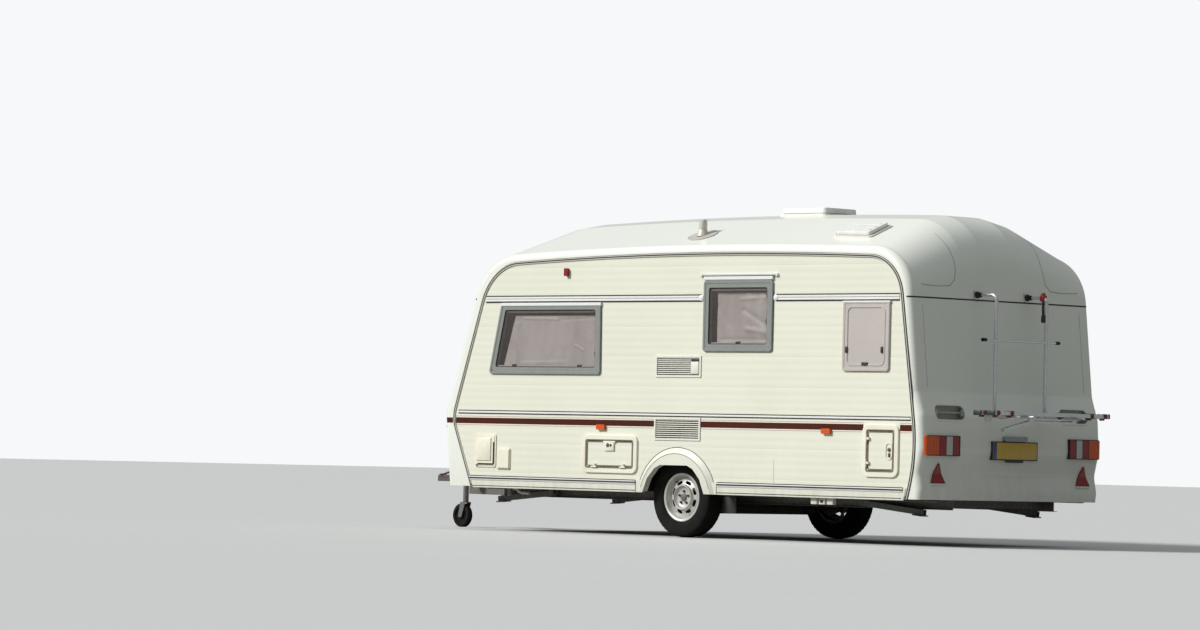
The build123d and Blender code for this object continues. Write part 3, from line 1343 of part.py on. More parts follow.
# Cycle carrier: two hoops on the rear wall, joined by a cross tube, and a platform that folds up
hoop_out_x = tail_x(hoop_top_z) + hoop_reach
hoop_path = [
    (tail_x(hoop_top_z) - wall, hoop_top_z), (hoop_out_x, hoop_top_z), (hoop_out_x, hoop_low_z),
    (tail_top_x - wall, hoop_low_z),
]
with BuildPart() as left_hoop:
    with BuildLine(face_at(-hoop_y)) as path:
        FilletPolyline(*hoop_path, radius=hoop_bend)
    with BuildSketch(Plane(origin=path.line @ 0, z_dir=path.line % 0)):
        Circle(hoop_radius)
    sweep(path=path.line)
    for foot_x_middle, foot_z in ((tail_x(hoop_top_z), hoop_top_z), (tail_top_x, hoop_low_z)):
        add(box_between((foot_x_middle - wall, foot_x_middle + hoop_foot_proud),
                        (-hoop_y - hoop_foot, -hoop_y + hoop_foot),
                        (foot_z - hoop_foot, foot_z + hoop_foot)))
    yoke_x = hinge_x - barrel_radius - door_gap
    add(rod((hoop_out_x - hoop_bend - 5, -hoop_y, hinge_z), (yoke_x, -hoop_y, hinge_z), bracket_radius))
    yoke_z = (hinge_z - bracket_radius, hinge_z + bracket_radius)
    add(box_between((yoke_x - yoke_reach, yoke_x), (-hoop_y - barrel_half, -hoop_y + barrel_half), yoke_z))
    for inner, outer in ((barrel_gap, barrel_half), (-barrel_half, -barrel_gap)):
        add(box_between((yoke_x - 1, hinge_x), (-hoop_y + inner, -hoop_y + outer), yoke_z))
        add(rod((hinge_x, -hoop_y + inner, hinge_z), (hinge_x, -hoop_y + outer, hinge_z), barrel_radius))
    add(rod((hinge_x, -hoop_y - barrel_half, hinge_z), (hinge_x, -hoop_y + barrel_half, hinge_z),
            carrier_pin_radius))
with BuildPart() as carrier_frame:
    add(both_sides(left_hoop.part))
    add(rod((hoop_out_x, -cross_tube_half, cross_tube_z), (hoop_out_x, cross_tube_half, cross_tube_z),
            cross_tube_radius))
    add(outer_body, mode=Mode.SUBTRACT)
keep(carrier_frame, "carrier_frame")

rail_floor = hinge_z + platform_arm_radius - 1
with BuildPart() as carrier_platform:
    for side in (-1, 1):
        moving_half = barrel_gap - 0.5
        add(rod((hinge_x, side * hoop_y - moving_half, hinge_z), (hinge_x, side * hoop_y + moving_half, hinge_z),
                barrel_radius, bore=carrier_pin_radius + stub_clearance))
        add(rod((hinge_x + barrel_radius - 4, side * hoop_y, hinge_z), (tail_reach, side * hoop_y, hinge_z),
                platform_arm_radius))
    for x in platform_rail_x:
        with BuildSketch(face_at(0)):
            with Locations((x, rail_floor + platform_rail_high / 2)):
                Rectangle(platform_rail_wide, platform_rail_high)
            with Locations((x, rail_floor + platform_rail_high / 2 + platform_rail_wall)):
                Rectangle(platform_rail_wide - 2 * platform_rail_wall, platform_rail_high, mode=Mode.SUBTRACT)
        extrude(amount=platform_half, both=True)
    brace_top_z = hinge_z - platform_arm_radius + 3
    add(box_between(brace_x, (-brace_half, brace_half), (brace_top_z - brace_thick, brace_top_z)))
keep(carrier_platform, "carrier_platform")
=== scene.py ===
# %% [markdown]
# # Dressing a touring caravan
#
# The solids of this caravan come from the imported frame: shell, windows, lockers, running gear and coupling.
# This lesson gives every one of them a finish, and adds what is too fine for solids: trim strips, rubber
# seals, blinds, tyre tread, catches and lamp details. Lengths are metres, and every piece is placed in the
# frame's own coordinates, where +X runs to the rear, +Y to the door side and +Z up.

# %% Load the frame
import json
import math

import bmesh
import bpy
from mathutils import Matrix, Vector
from mathutils.bvhtree import BVHTree

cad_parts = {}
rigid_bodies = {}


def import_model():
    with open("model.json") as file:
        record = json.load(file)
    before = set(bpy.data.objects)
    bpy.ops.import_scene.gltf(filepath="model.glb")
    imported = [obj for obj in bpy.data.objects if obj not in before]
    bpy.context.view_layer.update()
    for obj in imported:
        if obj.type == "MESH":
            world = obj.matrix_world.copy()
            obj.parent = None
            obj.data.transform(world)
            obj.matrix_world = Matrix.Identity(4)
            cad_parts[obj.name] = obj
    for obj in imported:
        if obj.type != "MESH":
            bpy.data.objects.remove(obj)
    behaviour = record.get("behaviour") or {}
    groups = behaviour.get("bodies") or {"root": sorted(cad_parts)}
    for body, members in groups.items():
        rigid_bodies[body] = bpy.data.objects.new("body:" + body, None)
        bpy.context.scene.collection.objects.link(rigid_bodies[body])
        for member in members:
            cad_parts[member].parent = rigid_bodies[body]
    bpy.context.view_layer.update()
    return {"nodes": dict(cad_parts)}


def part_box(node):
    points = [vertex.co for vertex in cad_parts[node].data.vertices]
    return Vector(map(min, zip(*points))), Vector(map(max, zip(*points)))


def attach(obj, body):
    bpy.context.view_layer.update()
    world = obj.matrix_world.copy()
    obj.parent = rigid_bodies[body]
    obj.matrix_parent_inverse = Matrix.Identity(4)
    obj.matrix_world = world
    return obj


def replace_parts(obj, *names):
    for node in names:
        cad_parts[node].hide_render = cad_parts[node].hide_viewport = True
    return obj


for leftover in list(bpy.data.objects):
    bpy.data.objects.remove(leftover)
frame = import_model()
nodes = frame["nodes"]

# %% [markdown]
# The photograph was taken from far away with a long lens, almost level with the sills, so the sides stay
# nearly parallel. A camera is three things: where it stands, where it looks, and its lens. The numbers
# below were fitted to known points of the body, and measured from the axle.

# %% Camera
tyre_low, tyre_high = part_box("tyre_left")
AXLE_X = (tyre_low.x + tyre_high.x) / 2
CAMERA_LENS, CAMERA_SENSOR = 152.4, 36.0
CAMERA_AZIMUTH, CAMERA_RISE, CAMERA_ROLL = map(math.radians, (44.94, -1.587, 1.393))
CAMERA_AWAY, CAMERA_CLIP = 42.66, 500
TARGET_X, TARGET_Z = -1.942, 1.8165
camera_target = Vector((AXLE_X + TARGET_X, 0, TARGET_Z))
backwards = Vector((
    math.sin(CAMERA_AZIMUTH) * math.cos(CAMERA_RISE),
    -math.cos(CAMERA_AZIMUTH) * math.cos(CAMERA_RISE),
    math.sin(CAMERA_RISE),
))
camera = bpy.data.objects.new("camera", bpy.data.cameras.new("camera"))
bpy.context.scene.collection.objects.link(camera)
bpy.context.scene.camera = camera
camera.data.lens, camera.data.sensor_width = CAMERA_LENS, CAMERA_SENSOR
camera.data.clip_end = CAMERA_CLIP
right = (-backwards).cross(Vector((0, 0, 1))).normalized()
up = right.cross(-backwards)
tilted_right = right * math.cos(CAMERA_ROLL) + up * math.sin(CAMERA_ROLL)
tilted_up = up * math.cos(CAMERA_ROLL) - right * math.sin(CAMERA_ROLL)
turn = Matrix((tilted_right, tilted_up, backwards)).transposed()
camera.matrix_world = Matrix.Translation(camera_target + backwards * CAMERA_AWAY) @ turn.to_4x4()
print("camera at", [round(v, 2) for v in camera.location])

# %% [markdown]
# Materials are small graphs. The helpers keep them readable: one adds a node and fills its sockets, with
# plain values or with links, and the others name the few nodes that come back all the time. A node group is
# an effect that several materials share, such as dirt, and each material gives it its own values.

# %% Helpers for shader graphs
def add_node(tree, kind, settings=None, **sockets):
    """Adds a node. Sockets are named with underscores for spaces, or by number as n0, n1."""
    made = tree.nodes.new(kind)
    for name, value in (settings or {}).items():
        setattr(made, name, value)
    for name, value in sockets.items():
        numbered = name[0] == "n" and name[1:].isdigit()
        socket = made.inputs[int(name[1:])] if numbered else made.inputs[name.replace("_", " ")]
        if isinstance(value, bpy.types.NodeSocket):
            tree.links.new(value, socket)
        else:
            socket.default_value = value
    return made


def maths(tree, operation, a, b=0.5):
    return add_node(tree, "ShaderNodeMath", {"operation": operation}, n0=a, n1=b).outputs[0]


def mix_colour(tree, share, first, second, how="MIX"):
    settings = {"data_type": "RGBA", "blend_type": how}
    return add_node(tree, "ShaderNodeMix", settings, n0=share, n6=first, n7=second).outputs[2]


def remap(tree, value, low=0.0, high=1.0, to_low=0.0, to_high=1.0, kind="LINEAR"):
    """A value taken from one range to another."""
    return add_node(tree, "ShaderNodeMapRange", {"interpolation_type": kind}, Value=value, From_Min=low,
                    From_Max=high, To_Min=to_low, To_Max=to_high).outputs[0]


def object_place(tree):
    return add_node(tree, "ShaderNodeTexCoord").outputs["Object"]


def object_parts(tree):
    """The three parts of the place on the object, along X, Y and Z."""
    return add_node(tree, "ShaderNodeSeparateXYZ", Vector=object_place(tree)).outputs


def noise(tree, scale, detail, roughness=0.5, place=None):
    place = object_place(tree) if place is None else place
    return add_node(tree, "ShaderNodeTexNoise", Vector=place, Scale=scale, Detail=detail,
                    Roughness=roughness).outputs[0]


def bumped(tree, height, strength, distance):
    return add_node(tree, "ShaderNodeBump", Strength=strength, Distance=distance, Height=height).outputs[0]


FLOAT = "NodeSocketFloat"


def new_group(name, inputs, *outputs):
    """A node group of number sockets. Returns it with the sockets that its inside reads and fills."""
    group = bpy.data.node_groups.new(name, "ShaderNodeTree")
    for socket, value in inputs.items():
        group.interface.new_socket(socket, in_out="INPUT", socket_type=FLOAT).default_value = value
    for socket in outputs:
        group.interface.new_socket(socket, in_out="OUTPUT", socket_type=FLOAT)
    print("group", name, "reads", list(inputs), "and gives", list(outputs))
    return group, group.nodes.new("NodeGroupInput").outputs, group.nodes.new("NodeGroupOutput").inputs


print("shader helpers ready")

# %% [markdown]
# The studio has a large soft key light on the caravan's left-hand side and a weak sky. A sun lamp with a
# wide angle gives the same level over the whole length, which an area lamp near a body of five metres would
# not. The sky is white where the camera sees it, and is dimmer as a light: it grows from the horizon to the
# zenith, so that surfaces in shade still show their form.

# %% Studio
KEY_LEVEL, KEY_WIDTH, KEY_WAY = 3.5, 16, (0.46, 0.70, -0.55)
SKY_LOW, SKY_HIGH, SKY_TOP = 0.105, 0.48, 0.8
SKY_LIGHT, SKY_SEEN = (0.90, 0.95, 1.0, 1), (0.93, 0.94, 0.95, 1)
key = bpy.data.objects.new("key", bpy.data.lights.new("key", "SUN"))
bpy.context.scene.collection.objects.link(key)
key.data.energy, key.data.angle = KEY_LEVEL, math.radians(KEY_WIDTH)
key.rotation_mode = "QUATERNION"
key.rotation_quaternion = Vector(KEY_WAY).to_track_quat("-Z", "Y")

world = bpy.data.worlds.new("studio")
bpy.context.scene.world = world
world.use_nodes = True
sky = world.node_tree
sky.nodes.clear()
ray = add_node(sky, "ShaderNodeLightPath").outputs
seen = maths(sky, "MAXIMUM", ray["Is Camera Ray"], ray["Is Transmission Ray"])
sky_way = add_node(sky, "ShaderNodeTexCoord").outputs["Generated"]
rise = add_node(sky, "ShaderNodeSeparateXYZ", Vector=sky_way).outputs[2]
level = remap(sky, rise, 0.0, SKY_TOP, SKY_LOW, SKY_HIGH)
dim = add_node(sky, "ShaderNodeBackground", Color=SKY_LIGHT, Strength=level).outputs[0]
plain = add_node(sky, "ShaderNodeBackground", Color=SKY_SEEN).outputs[0]
chosen = add_node(sky, "ShaderNodeMixShader", n0=seen, n1=dim, n2=plain).outputs[0]
add_node(sky, "ShaderNodeOutputWorld", Surface=chosen)
bpy.context.scene.view_settings.view_transform = "Standard"
print("key light", KEY_LEVEL, "sky", SKY_LOW, "to", SKY_HIGH)

# %% [markdown]
# Moulded plastic and painted sheet are never one flat colour: they are slightly cloudy. The mottle group
# turns noise into a soft mask. Its size and its contrast are sockets, so one group serves for cloudy
# mouldings, cast rubber and zinc.

# %% Mottle group
mottle, given, result = new_group("mottle", {"Scale": 3.0, "Low": 0.4, "High": 0.7}, "Mask")
cloud = noise(mottle, given["Scale"], 5.0, 0.6)
mottle.links.new(remap(mottle, cloud, given["Low"], given["High"]), result["Mask"])

# %% [markdown]
# Road film gathers low on the body and thins out upwards, and rain draws it down in streaks. The group
# multiplies a height ramp by noise that is stretched along Z.

# %% Road film group
STREAK_SCALE = (1, 1, 0.12)
road_film, given, result = new_group("road_film", {"Bottom": 0.3, "Top": 1.2, "Streak": 14.0}, "Mask")
ramp = remap(road_film, object_parts(road_film)[2], given["Top"], given["Bottom"])
stretched = add_node(road_film, "ShaderNodeMapping", Vector=object_place(road_film), Scale=STREAK_SCALE)
streaks = noise(road_film, given["Streak"], 4.0, 0.65, stretched.outputs[0])
uneven = remap(road_film, streaks, 0.35, 0.75, 0.25, 1.0)
road_film.links.new(maths(road_film, "MULTIPLY", ramp, uneven), result["Mask"])

# %% [markdown]
# Edges lose their finish first. Pointiness tells how sharply the surface bends at a place, and noise
# breaks the worn line up.

# %% Edge wear group
edge_wear, given, result = new_group("edge_wear", {"Start": 0.52, "End": 0.58, "Scale": 30.0}, "Mask")
bend = add_node(edge_wear, "ShaderNodeNewGeometry").outputs["Pointiness"]
worn = remap(edge_wear, bend, given["Start"], given["End"])
broken = noise(edge_wear, given["Scale"], 3.0)
edge_wear.links.new(maths(edge_wear, "MULTIPLY", worn, broken), result["Mask"])

# %% [markdown]
# The aluminium skin of the side walls is rolled with fine level ribs, some of them deeper, which show as
# faint lines like planking; the deeper ribs are also painted a little darker, as the shade in their grooves.
# Height alone decides where they lie, so the group reads only Z.

# %% Rolled ribs group
LINE_SHARE, LINE_DEPTH = 0.06, 0.8
ribs, given, result = new_group("rolled_ribs", {"Pitch": 0.03, "Plank": 0.12}, "Height", "Line")
height = object_parts(ribs)[2]
fine, plank = (maths(ribs, "DIVIDE", maths(ribs, "PINGPONG", height, given[size]), given[size])
               for size in ("Pitch", "Plank"))
line = remap(ribs, plank, 0.0, LINE_SHARE, 1.0, 0.0)
deep = maths(ribs, "MULTIPLY", line, LINE_DEPTH)
ribs.links.new(maths(ribs, "SUBTRACT", remap(ribs, fine, kind="SMOOTHSTEP"), deep), result["Height"])
ribs.links.new(line, result["Line"])

# %% [markdown]
# Moulded and cast surfaces have a fine grain, too small to model. The group gives its height, and each
# material decides how deep it is.

# %% Fine grain group
fine_grain, given, result = new_group("fine_grain", {"Scale": 400.0}, "Height")
fine_grain.links.new(noise(fine_grain, given["Scale"], 2.0), result["Height"])

# %% [markdown]
# What is set back is darkened: brake dust and painted shade on the inside of a wheel, and painted shade on
# the slats of a vent behind its frame. The group masks what lies nearer the middle of the caravan than an
# edge, with a narrow fade.

# %% Inboard dust and painted shade group
DUST_AND_SHADE_FADE = 0.004
inboard_dust_and_shade, given, result = new_group("inboard_dust_and_shade", {"Edge": 0.9}, "Mask")
inboard = maths(inboard_dust_and_shade, "ABSOLUTE", object_parts(inboard_dust_and_shade)[1])
faded = maths(inboard_dust_and_shade, "SUBTRACT", given["Edge"], DUST_AND_SHADE_FADE)
inboard_dust_and_shade.links.new(remap(inboard_dust_and_shade, inboard, given["Edge"], faded), result["Mask"])

# %% [markdown]
# One builder makes every opaque finish from these parts: a base colour that is slightly cloudy, film from
# the road, worn edges, and a fine bump. Only the shader's own sockets hold what is the same all over.

# %% Material builder
ROAD_DIRT, BRAKE_DUST_AND_SHADE = (0.23, 0.20, 0.15, 1), (0.030, 0.026, 0.022, 1)
ROUGH_LOW, ROUGH_HIGH = 0.92, 1.12
FILM_ROUGHNESS, RIB_SHADE = 0.4, 0.06
GRAIN_STRENGTH, RIB_STRENGTH = 0.6, 0.45


def use_group(tree, group, **sockets):
    return add_node(tree, "ShaderNodeGroup", {"node_tree": group}, **sockets).outputs


def toned(colour, share=1):
    """A colour with its alpha, darker where share is under 1."""
    return tuple(c * share for c in colour) + (1,)


def new_material(name):
    made = bpy.data.materials.new(name)
    made.use_nodes = True
    made.node_tree.nodes.clear()
    return made, made.node_tree


def shaded(made, **sockets):
    """Ends a material with its shader and its output."""
    shader = add_node(made.node_tree, "ShaderNodeBsdfPrincipled", **sockets)
    add_node(made.node_tree, "ShaderNodeOutputMaterial", Surface=shader.outputs[0])
    return made


def surface(name, colour, roughness=0.4, metallic=0.0, cloudy=0.06, cloud_scale=3.0, film=0.0, film_top=1.2,
            wear=0.0, wear_colour=(0.5, 0.5, 0.5), grain=0.0, grain_scale=400.0, ribbed=0.0, coat=0.0,
            dust_and_shade_inboard=0.0, gloss=0.5):
    """An opaque finish. Amounts run from 0 to 1; grain and ribbed are bump distances in metres. Brake dust
    and painted shade darken what lies nearer the middle of the caravan than dust_and_shade_inboard. gloss is
    the level of reflection."""
    made, tree = new_material(name)
    darker = toned(colour, 1 - cloudy)
    cloud = use_group(tree, mottle, Scale=cloud_scale)["Mask"]
    tone = mix_colour(tree, cloud, toned(colour), darker)
    rough = remap(tree, cloud, to_low=roughness * ROUGH_LOW, to_high=roughness * ROUGH_HIGH)
    if film:
        mask = maths(tree, "MULTIPLY", use_group(tree, road_film, Top=film_top)["Mask"], film)
        tone = mix_colour(tree, mask, tone, ROAD_DIRT)
        rough = maths(tree, "ADD", rough, maths(tree, "MULTIPLY", mask, FILM_ROUGHNESS))
    if wear:
        mask = maths(tree, "MULTIPLY", use_group(tree, edge_wear)["Mask"], wear)
        tone = mix_colour(tree, mask, tone, toned(wear_colour))
    # Brake dust and painted shade: a dark brown over what lies nearer the middle than the given edge.
    if dust_and_shade_inboard:
        tone = mix_colour(tree, use_group(tree, inboard_dust_and_shade, Edge=dust_and_shade_inboard)["Mask"], tone, BRAKE_DUST_AND_SHADE)
    bump = {}
    if grain:
        height = use_group(tree, fine_grain, Scale=grain_scale)["Height"]
        bump = {"Normal": bumped(tree, height, GRAIN_STRENGTH, grain)}
    if ribbed:
        rolled = use_group(tree, ribs)
        # The deeper ribs' lines are darkened too: painted shade in their grooves.
        shade = maths(tree, "MULTIPLY", rolled["Line"], RIB_SHADE)
        tone = mix_colour(tree, shade, tone, darker, "MULTIPLY")
        bump = {"Normal": bumped(tree, rolled["Height"], RIB_STRENGTH, ribbed)}
    return shaded(made, Base_Color=tone, Roughness=rough, Metallic=metallic, Coat_Weight=coat,
                  Specular_IOR_Level=gloss, **bump)


print("builder ready, with", len(bpy.data.node_groups), "groups to use")

# %% [markdown]
# The body has three pale tones: a warm cream on the rolled side skins, a whiter gel-coat on the roof, nose
# and tail mouldings, and a yellowed cream on the locker frames, which are a different plastic and have
# aged more.

# %% Body finishes
cream_skin = surface("cream_skin", (0.80, 0.79, 0.66), 0.38, cloudy=0.05, cloud_scale=1.3, film=0.10,
                     film_top=0.9, ribbed=0.0016)
white_gel = surface("white_gel_coat", (0.855, 0.87, 0.785), 0.32, cloudy=0.05, cloud_scale=0.9, film=0.22,
                    film_top=0.8, grain=0.0004, grain_scale=60, coat=0.15)
aged_cream = surface("aged_cream_plastic", (0.88, 0.85, 0.70), 0.42, cloudy=0.10, cloud_scale=5, film=0.12,
                     film_top=0.9, wear=0.3, wear_colour=(0.62, 0.52, 0.34), grain=0.0003)
skirt_cream = surface("skirt_cream", (0.78, 0.77, 0.66), 0.40, cloudy=0.06, film=0.38, film_top=0.62)
white_plastic = surface("white_plastic", (0.80, 0.79, 0.70), 0.45, cloudy=0.07, cloud_scale=6, film=0.15,
                        grain=0.0003)
# The vent's slats and the inner sides of its frame, behind its face, are darkened as painted shade.
vent_plastic = surface("vent_plastic", (0.80, 0.80, 0.70), 0.45, cloudy=0.07, cloud_scale=6, film=0.15,
                       dust_and_shade_inboard=1.0700)
# The grey of the handle trays is deepened to stand in for the shade in their recesses.
tray_grey_and_shade = surface("handle_tray_grey_and_shade", (0.40, 0.41, 0.36), 0.5, cloudy=0.15, cloud_scale=10, film=0.2,
                    grain=0.0003)
hatch_plastic = surface("weathered_hatch_plastic", (0.80, 0.80, 0.76), 0.5, cloudy=0.12, cloud_scale=7,
                        grain=0.0005)
print("body finishes ready")

# %% [markdown]
# Metals are told apart by how they reflect. The carrier is satin aluminium, the trim strips are polished
# and a little scratched, the wheels are painted silver-white, and the chassis is dull hot-dip zinc with
# its cloudy crystals. The zinc is painted far darker than its own grey, as the shade under the floor, and
# the inside of each wheel is darkened with brake dust and painted shade.

# %% Metal finishes
bright_trim = surface("bright_trim", (0.74, 0.74, 0.73), 0.30, metallic=0.35, cloudy=0.1, cloud_scale=20,
                      film=0.1)
white_insert = surface("white_insert", (0.83, 0.83, 0.80), 0.35, cloudy=0.06, cloud_scale=12)
rail_metal = surface("coated_rail", (0.70, 0.68, 0.60), 0.36, metallic=0.15, cloudy=0.1, cloud_scale=8,
                     wear=0.4, wear_colour=(0.55, 0.54, 0.50))
carrier_metal = surface("carrier_aluminium", (0.66, 0.67, 0.68), 0.34, metallic=0.85, cloudy=0.12,
                        cloud_scale=25, grain=0.0002, grain_scale=800)
# Inside its edge the wheel is darkened with brake dust and painted shade.
wheel_paint = surface("wheel_silver", (0.60, 0.60, 0.56), 0.36, metallic=0.3, dust_and_shade_inboard=0.926, cloudy=0.14,
                      cloud_scale=18, film=0.22, film_top=0.66, wear=0.25, wear_colour=(0.30, 0.22, 0.15))
# Hot-dip zinc, darkened far below its own grey as painted shade under the floor.
shaded_zinc = surface("hot_dip_zinc_shaded", (0.13, 0.133, 0.133), 0.55, metallic=0.4, cloudy=0.35, cloud_scale=30, film=0.5,
               film_top=0.6, grain=0.0006, grain_scale=90)
dark_steel = surface("dark_steel", (0.055, 0.055, 0.058), 0.5, metallic=0.3, cloudy=0.3, cloud_scale=15,
                     wear=0.5, wear_colour=(0.30, 0.20, 0.12), grain=0.0004, grain_scale=200)
flue_metal = surface("flue_metal", (0.66, 0.64, 0.56), 0.45, metallic=0.25, cloudy=0.25, cloud_scale=22)
print("metal finishes ready")

# %% [markdown]
# The dark materials need more care than one black: tyre rubber is browned by dust, seals are smooth, and
# moulded boxes are grained.

# %% Dark finishes
tyre_rubber = surface("tyre_rubber", (0.011, 0.0115, 0.011), 0.9, cloudy=0.25, cloud_scale=9, film=0.03,
                      film_top=0.9, grain=0.0008, grain_scale=260, gloss=0.12)
seal_rubber = surface("seal_rubber", (0.016, 0.015, 0.014), 0.55, gloss=0.3, cloudy=0.2, cloud_scale=30)
black_plastic = surface("black_plastic", (0.022, 0.022, 0.023), 0.5, cloudy=0.2, cloud_scale=12, film=0.10,
                        film_top=0.8, grain=0.0006, grain_scale=300)
grey_frame = surface("grey_window_frame", (0.225, 0.240, 0.222), 0.40, cloudy=0.10, cloud_scale=9, film=0.1,
                     wear=0.25, wear_colour=(0.5, 0.5, 0.48), grain=0.0003)
maroon = surface("maroon_stripe", (0.070, 0.013, 0.007), 0.6, gloss=0.12, cloudy=0.18, cloud_scale=6)
pink_line = surface("faded_pink_line", (0.52, 0.36, 0.30), 0.5, cloudy=0.1)
underfloor_board = surface("underfloor_board", (0.045, 0.043, 0.040), 0.8, cloudy=0.3, cloud_scale=6,
                           grain=0.001, grain_scale=60)
blank_pane = surface("pinkish_blank_pane", (0.55, 0.50, 0.46), 0.30, cloudy=0.08, cloud_scale=4, coat=0.2,
                     grain=0.0006, grain_scale=30)
ochre_plate = surface("ochre_plate", (0.62, 0.40, 0.06), 0.4, cloudy=0.08, cloud_scale=10)
lamp_grey = surface("lamp_housing_grey", (0.33, 0.36, 0.36), 0.45, cloudy=0.1, cloud_scale=14, film=0.15)
blue_band = surface("blue_band", (0.035, 0.07, 0.23), 0.4)
red_clamp = surface("red_clamp", (0.36, 0.03, 0.028), 0.45, cloudy=0.15, cloud_scale=20)
strap_red = surface("strap_red", (0.16, 0.045, 0.035), 0.7, cloudy=0.2, cloud_scale=40)
crease_shade = surface("crease_shade", (0.42, 0.43, 0.41), 0.5, cloudy=0.1)
# A dark brown painted as the shade in gaps, grooves and joints.
painted_gap_shade = surface("shaded_gap", (0.16, 0.14, 0.10), 0.7, cloudy=0.3, cloud_scale=25)
print("dark and coloured finishes ready")

# %% [markdown]
# Lamp lenses are clear coloured plastic with prisms on their inner face. A coloured, slightly see-through
# principled surface with a grid of small ridges in its bump reads as a lens from any side. The smoked
# window acrylic is a dark sheet that lets the blind behind it show.

# %% Lenses and acrylic
def lens(name, colour, ridge=0.012, alpha=0.96):
    """Clear coloured plastic with a grid of prisms."""
    made, tree = new_material(name)
    parts = object_parts(tree)
    across = maths(tree, "PINGPONG", maths(tree, "ADD", parts[0], parts[1]), ridge / 2)
    along = maths(tree, "PINGPONG", parts[2], ridge / 2)
    prism = maths(tree, "MULTIPLY", maths(tree, "ADD", across, along), 1 / ridge)
    tone = mix_colour(tree, prism, toned(colour, 0.55), toned(colour))
    return shaded(made, Base_Color=tone, Roughness=0.28, Normal=bumped(tree, prism, 0.5, 0.002),
                  Coat_Weight=0.15, Alpha=alpha)


def acrylic(name, colour, alpha, roughness):
    """A smoked see-through sheet."""
    made, tree = new_material(name)
    cloud = use_group(tree, mottle, Scale=5.0)["Mask"]
    rough = remap(tree, cloud, to_low=roughness, to_high=roughness * 2.2)
    tone = mix_colour(tree, cloud, toned(colour), toned(colour, 1.25))
    return shaded(made, Base_Color=tone, Roughness=rough, Coat_Weight=0.5, Alpha=alpha)


def cloth(name, colour, weave=1100.0):
    """Closed blind cloth: two crossed waves make the weave, and noise its uneven tone."""
    made, tree = new_material(name)
    parts = object_parts(tree)
    warp = maths(tree, "SINE", maths(tree, "MULTIPLY", maths(tree, "ADD", parts[0], parts[1]), weave))
    weft = maths(tree, "SINE", maths(tree, "MULTIPLY", parts[2], weave))
    threads = maths(tree, "ADD", maths(tree, "MULTIPLY", maths(tree, "MULTIPLY", warp, weft), 0.5), 0.5)
    cloud = use_group(tree, mottle, Scale=3.2)["Mask"]
    tone = mix_colour(tree, cloud, toned(colour), toned(colour, 0.8))
    tone = mix_colour(tree, maths(tree, "MULTIPLY", threads, 0.25), tone, (0.2, 0.17, 0.16, 1), "MULTIPLY")
    return shaded(made, Base_Color=tone, Roughness=0.46, Normal=bumped(tree, threads, 0.3, 0.0006),
                  Sheen_Weight=0.2)


amber_lens = lens("amber_lens", (0.85, 0.13, 0.012))
red_lens = lens("red_lens", (0.36, 0.012, 0.012))
clear_lens = lens("clear_lens", (0.72, 0.72, 0.66))
smoked_pane = acrylic("smoked_acrylic", (0.16, 0.14, 0.13), 0.24, 0.06)
blind_cloth = cloth("blind_cloth", (0.90, 0.81, 0.76))
print("materials:", len(bpy.data.materials))

# %% [markdown]
# Each solid of the frame takes its finish by name. Assigning to the object's material slots keeps its
# mesh untouched. A smooth-by-angle shade keeps rounded mouldings round and square edges crisp.

# %% Finishes for the solids
finishes = {
    cream_skin: "side_wall_left side_wall_right entrance_door locker_lid cassette_lid",
    white_gel: "front_panel rear_panel roof_shell gas_locker_lid",
    tray_grey_and_shade: "grab_handles",
    aged_cream: "door_frames service_flaps",
    skirt_cream: "skirts_and_arches",
    vent_plastic: "fridge_vents",
    white_plastic: "roof_hatch_frames",
    hatch_plastic: "skylight_lid roof_hatch_lid",
    rail_metal: "awning_rails",
    carrier_metal: "carrier_frame carrier_platform",
    wheel_paint: "rim_left rim_right",
    shaded_zinc: "axle chassis_rails cross_members drawbar jockey_clamp jockey_leg jockey_fork steady_brackets "
          "steady_front_left steady_front_right steady_rear_left steady_rear_right",
    dark_steel: "overrun_housing coupling_head handbrake_lever",
    flue_metal: "flue_cowl",
    tyre_rubber: "tyre_left tyre_right jockey_wheel",
    seal_rubber: "coupling_bellows",
    black_plastic: "wheel_boxes plate_holder gas_locker_box",
    grey_frame: "window_frames",
    underfloor_board: "floor_panel",
    blank_pane: "bathroom_window",
    amber_lens: "lamps_amber",
    red_lens: "lamps_red",
    clear_lens: "lamps_clear",
    smoked_pane: "window_panes entrance_pane",
    blind_cloth: "window_blinds",
}
SHARP_ANGLE = math.radians(32)
for material, names in finishes.items():
    for name in names.split():
        shown = nodes[name]
        shown.data.materials.clear()
        shown.data.materials.append(material)
        shown.data.shade_smooth()
        shown.data.set_sharp_from_angle(angle=SHARP_ANGLE)
bare = sorted(set(nodes) - {n for names in finishes.values() for n in names.split()})
print("solids with no finish:", bare)

# %% [markdown]
# The floor is a plain pale sheet under the wheels, and no part of the caravan. Light Path lets it look pale
# to the camera and yet throw back no more light than turf would, so that the tail keeps its shade.

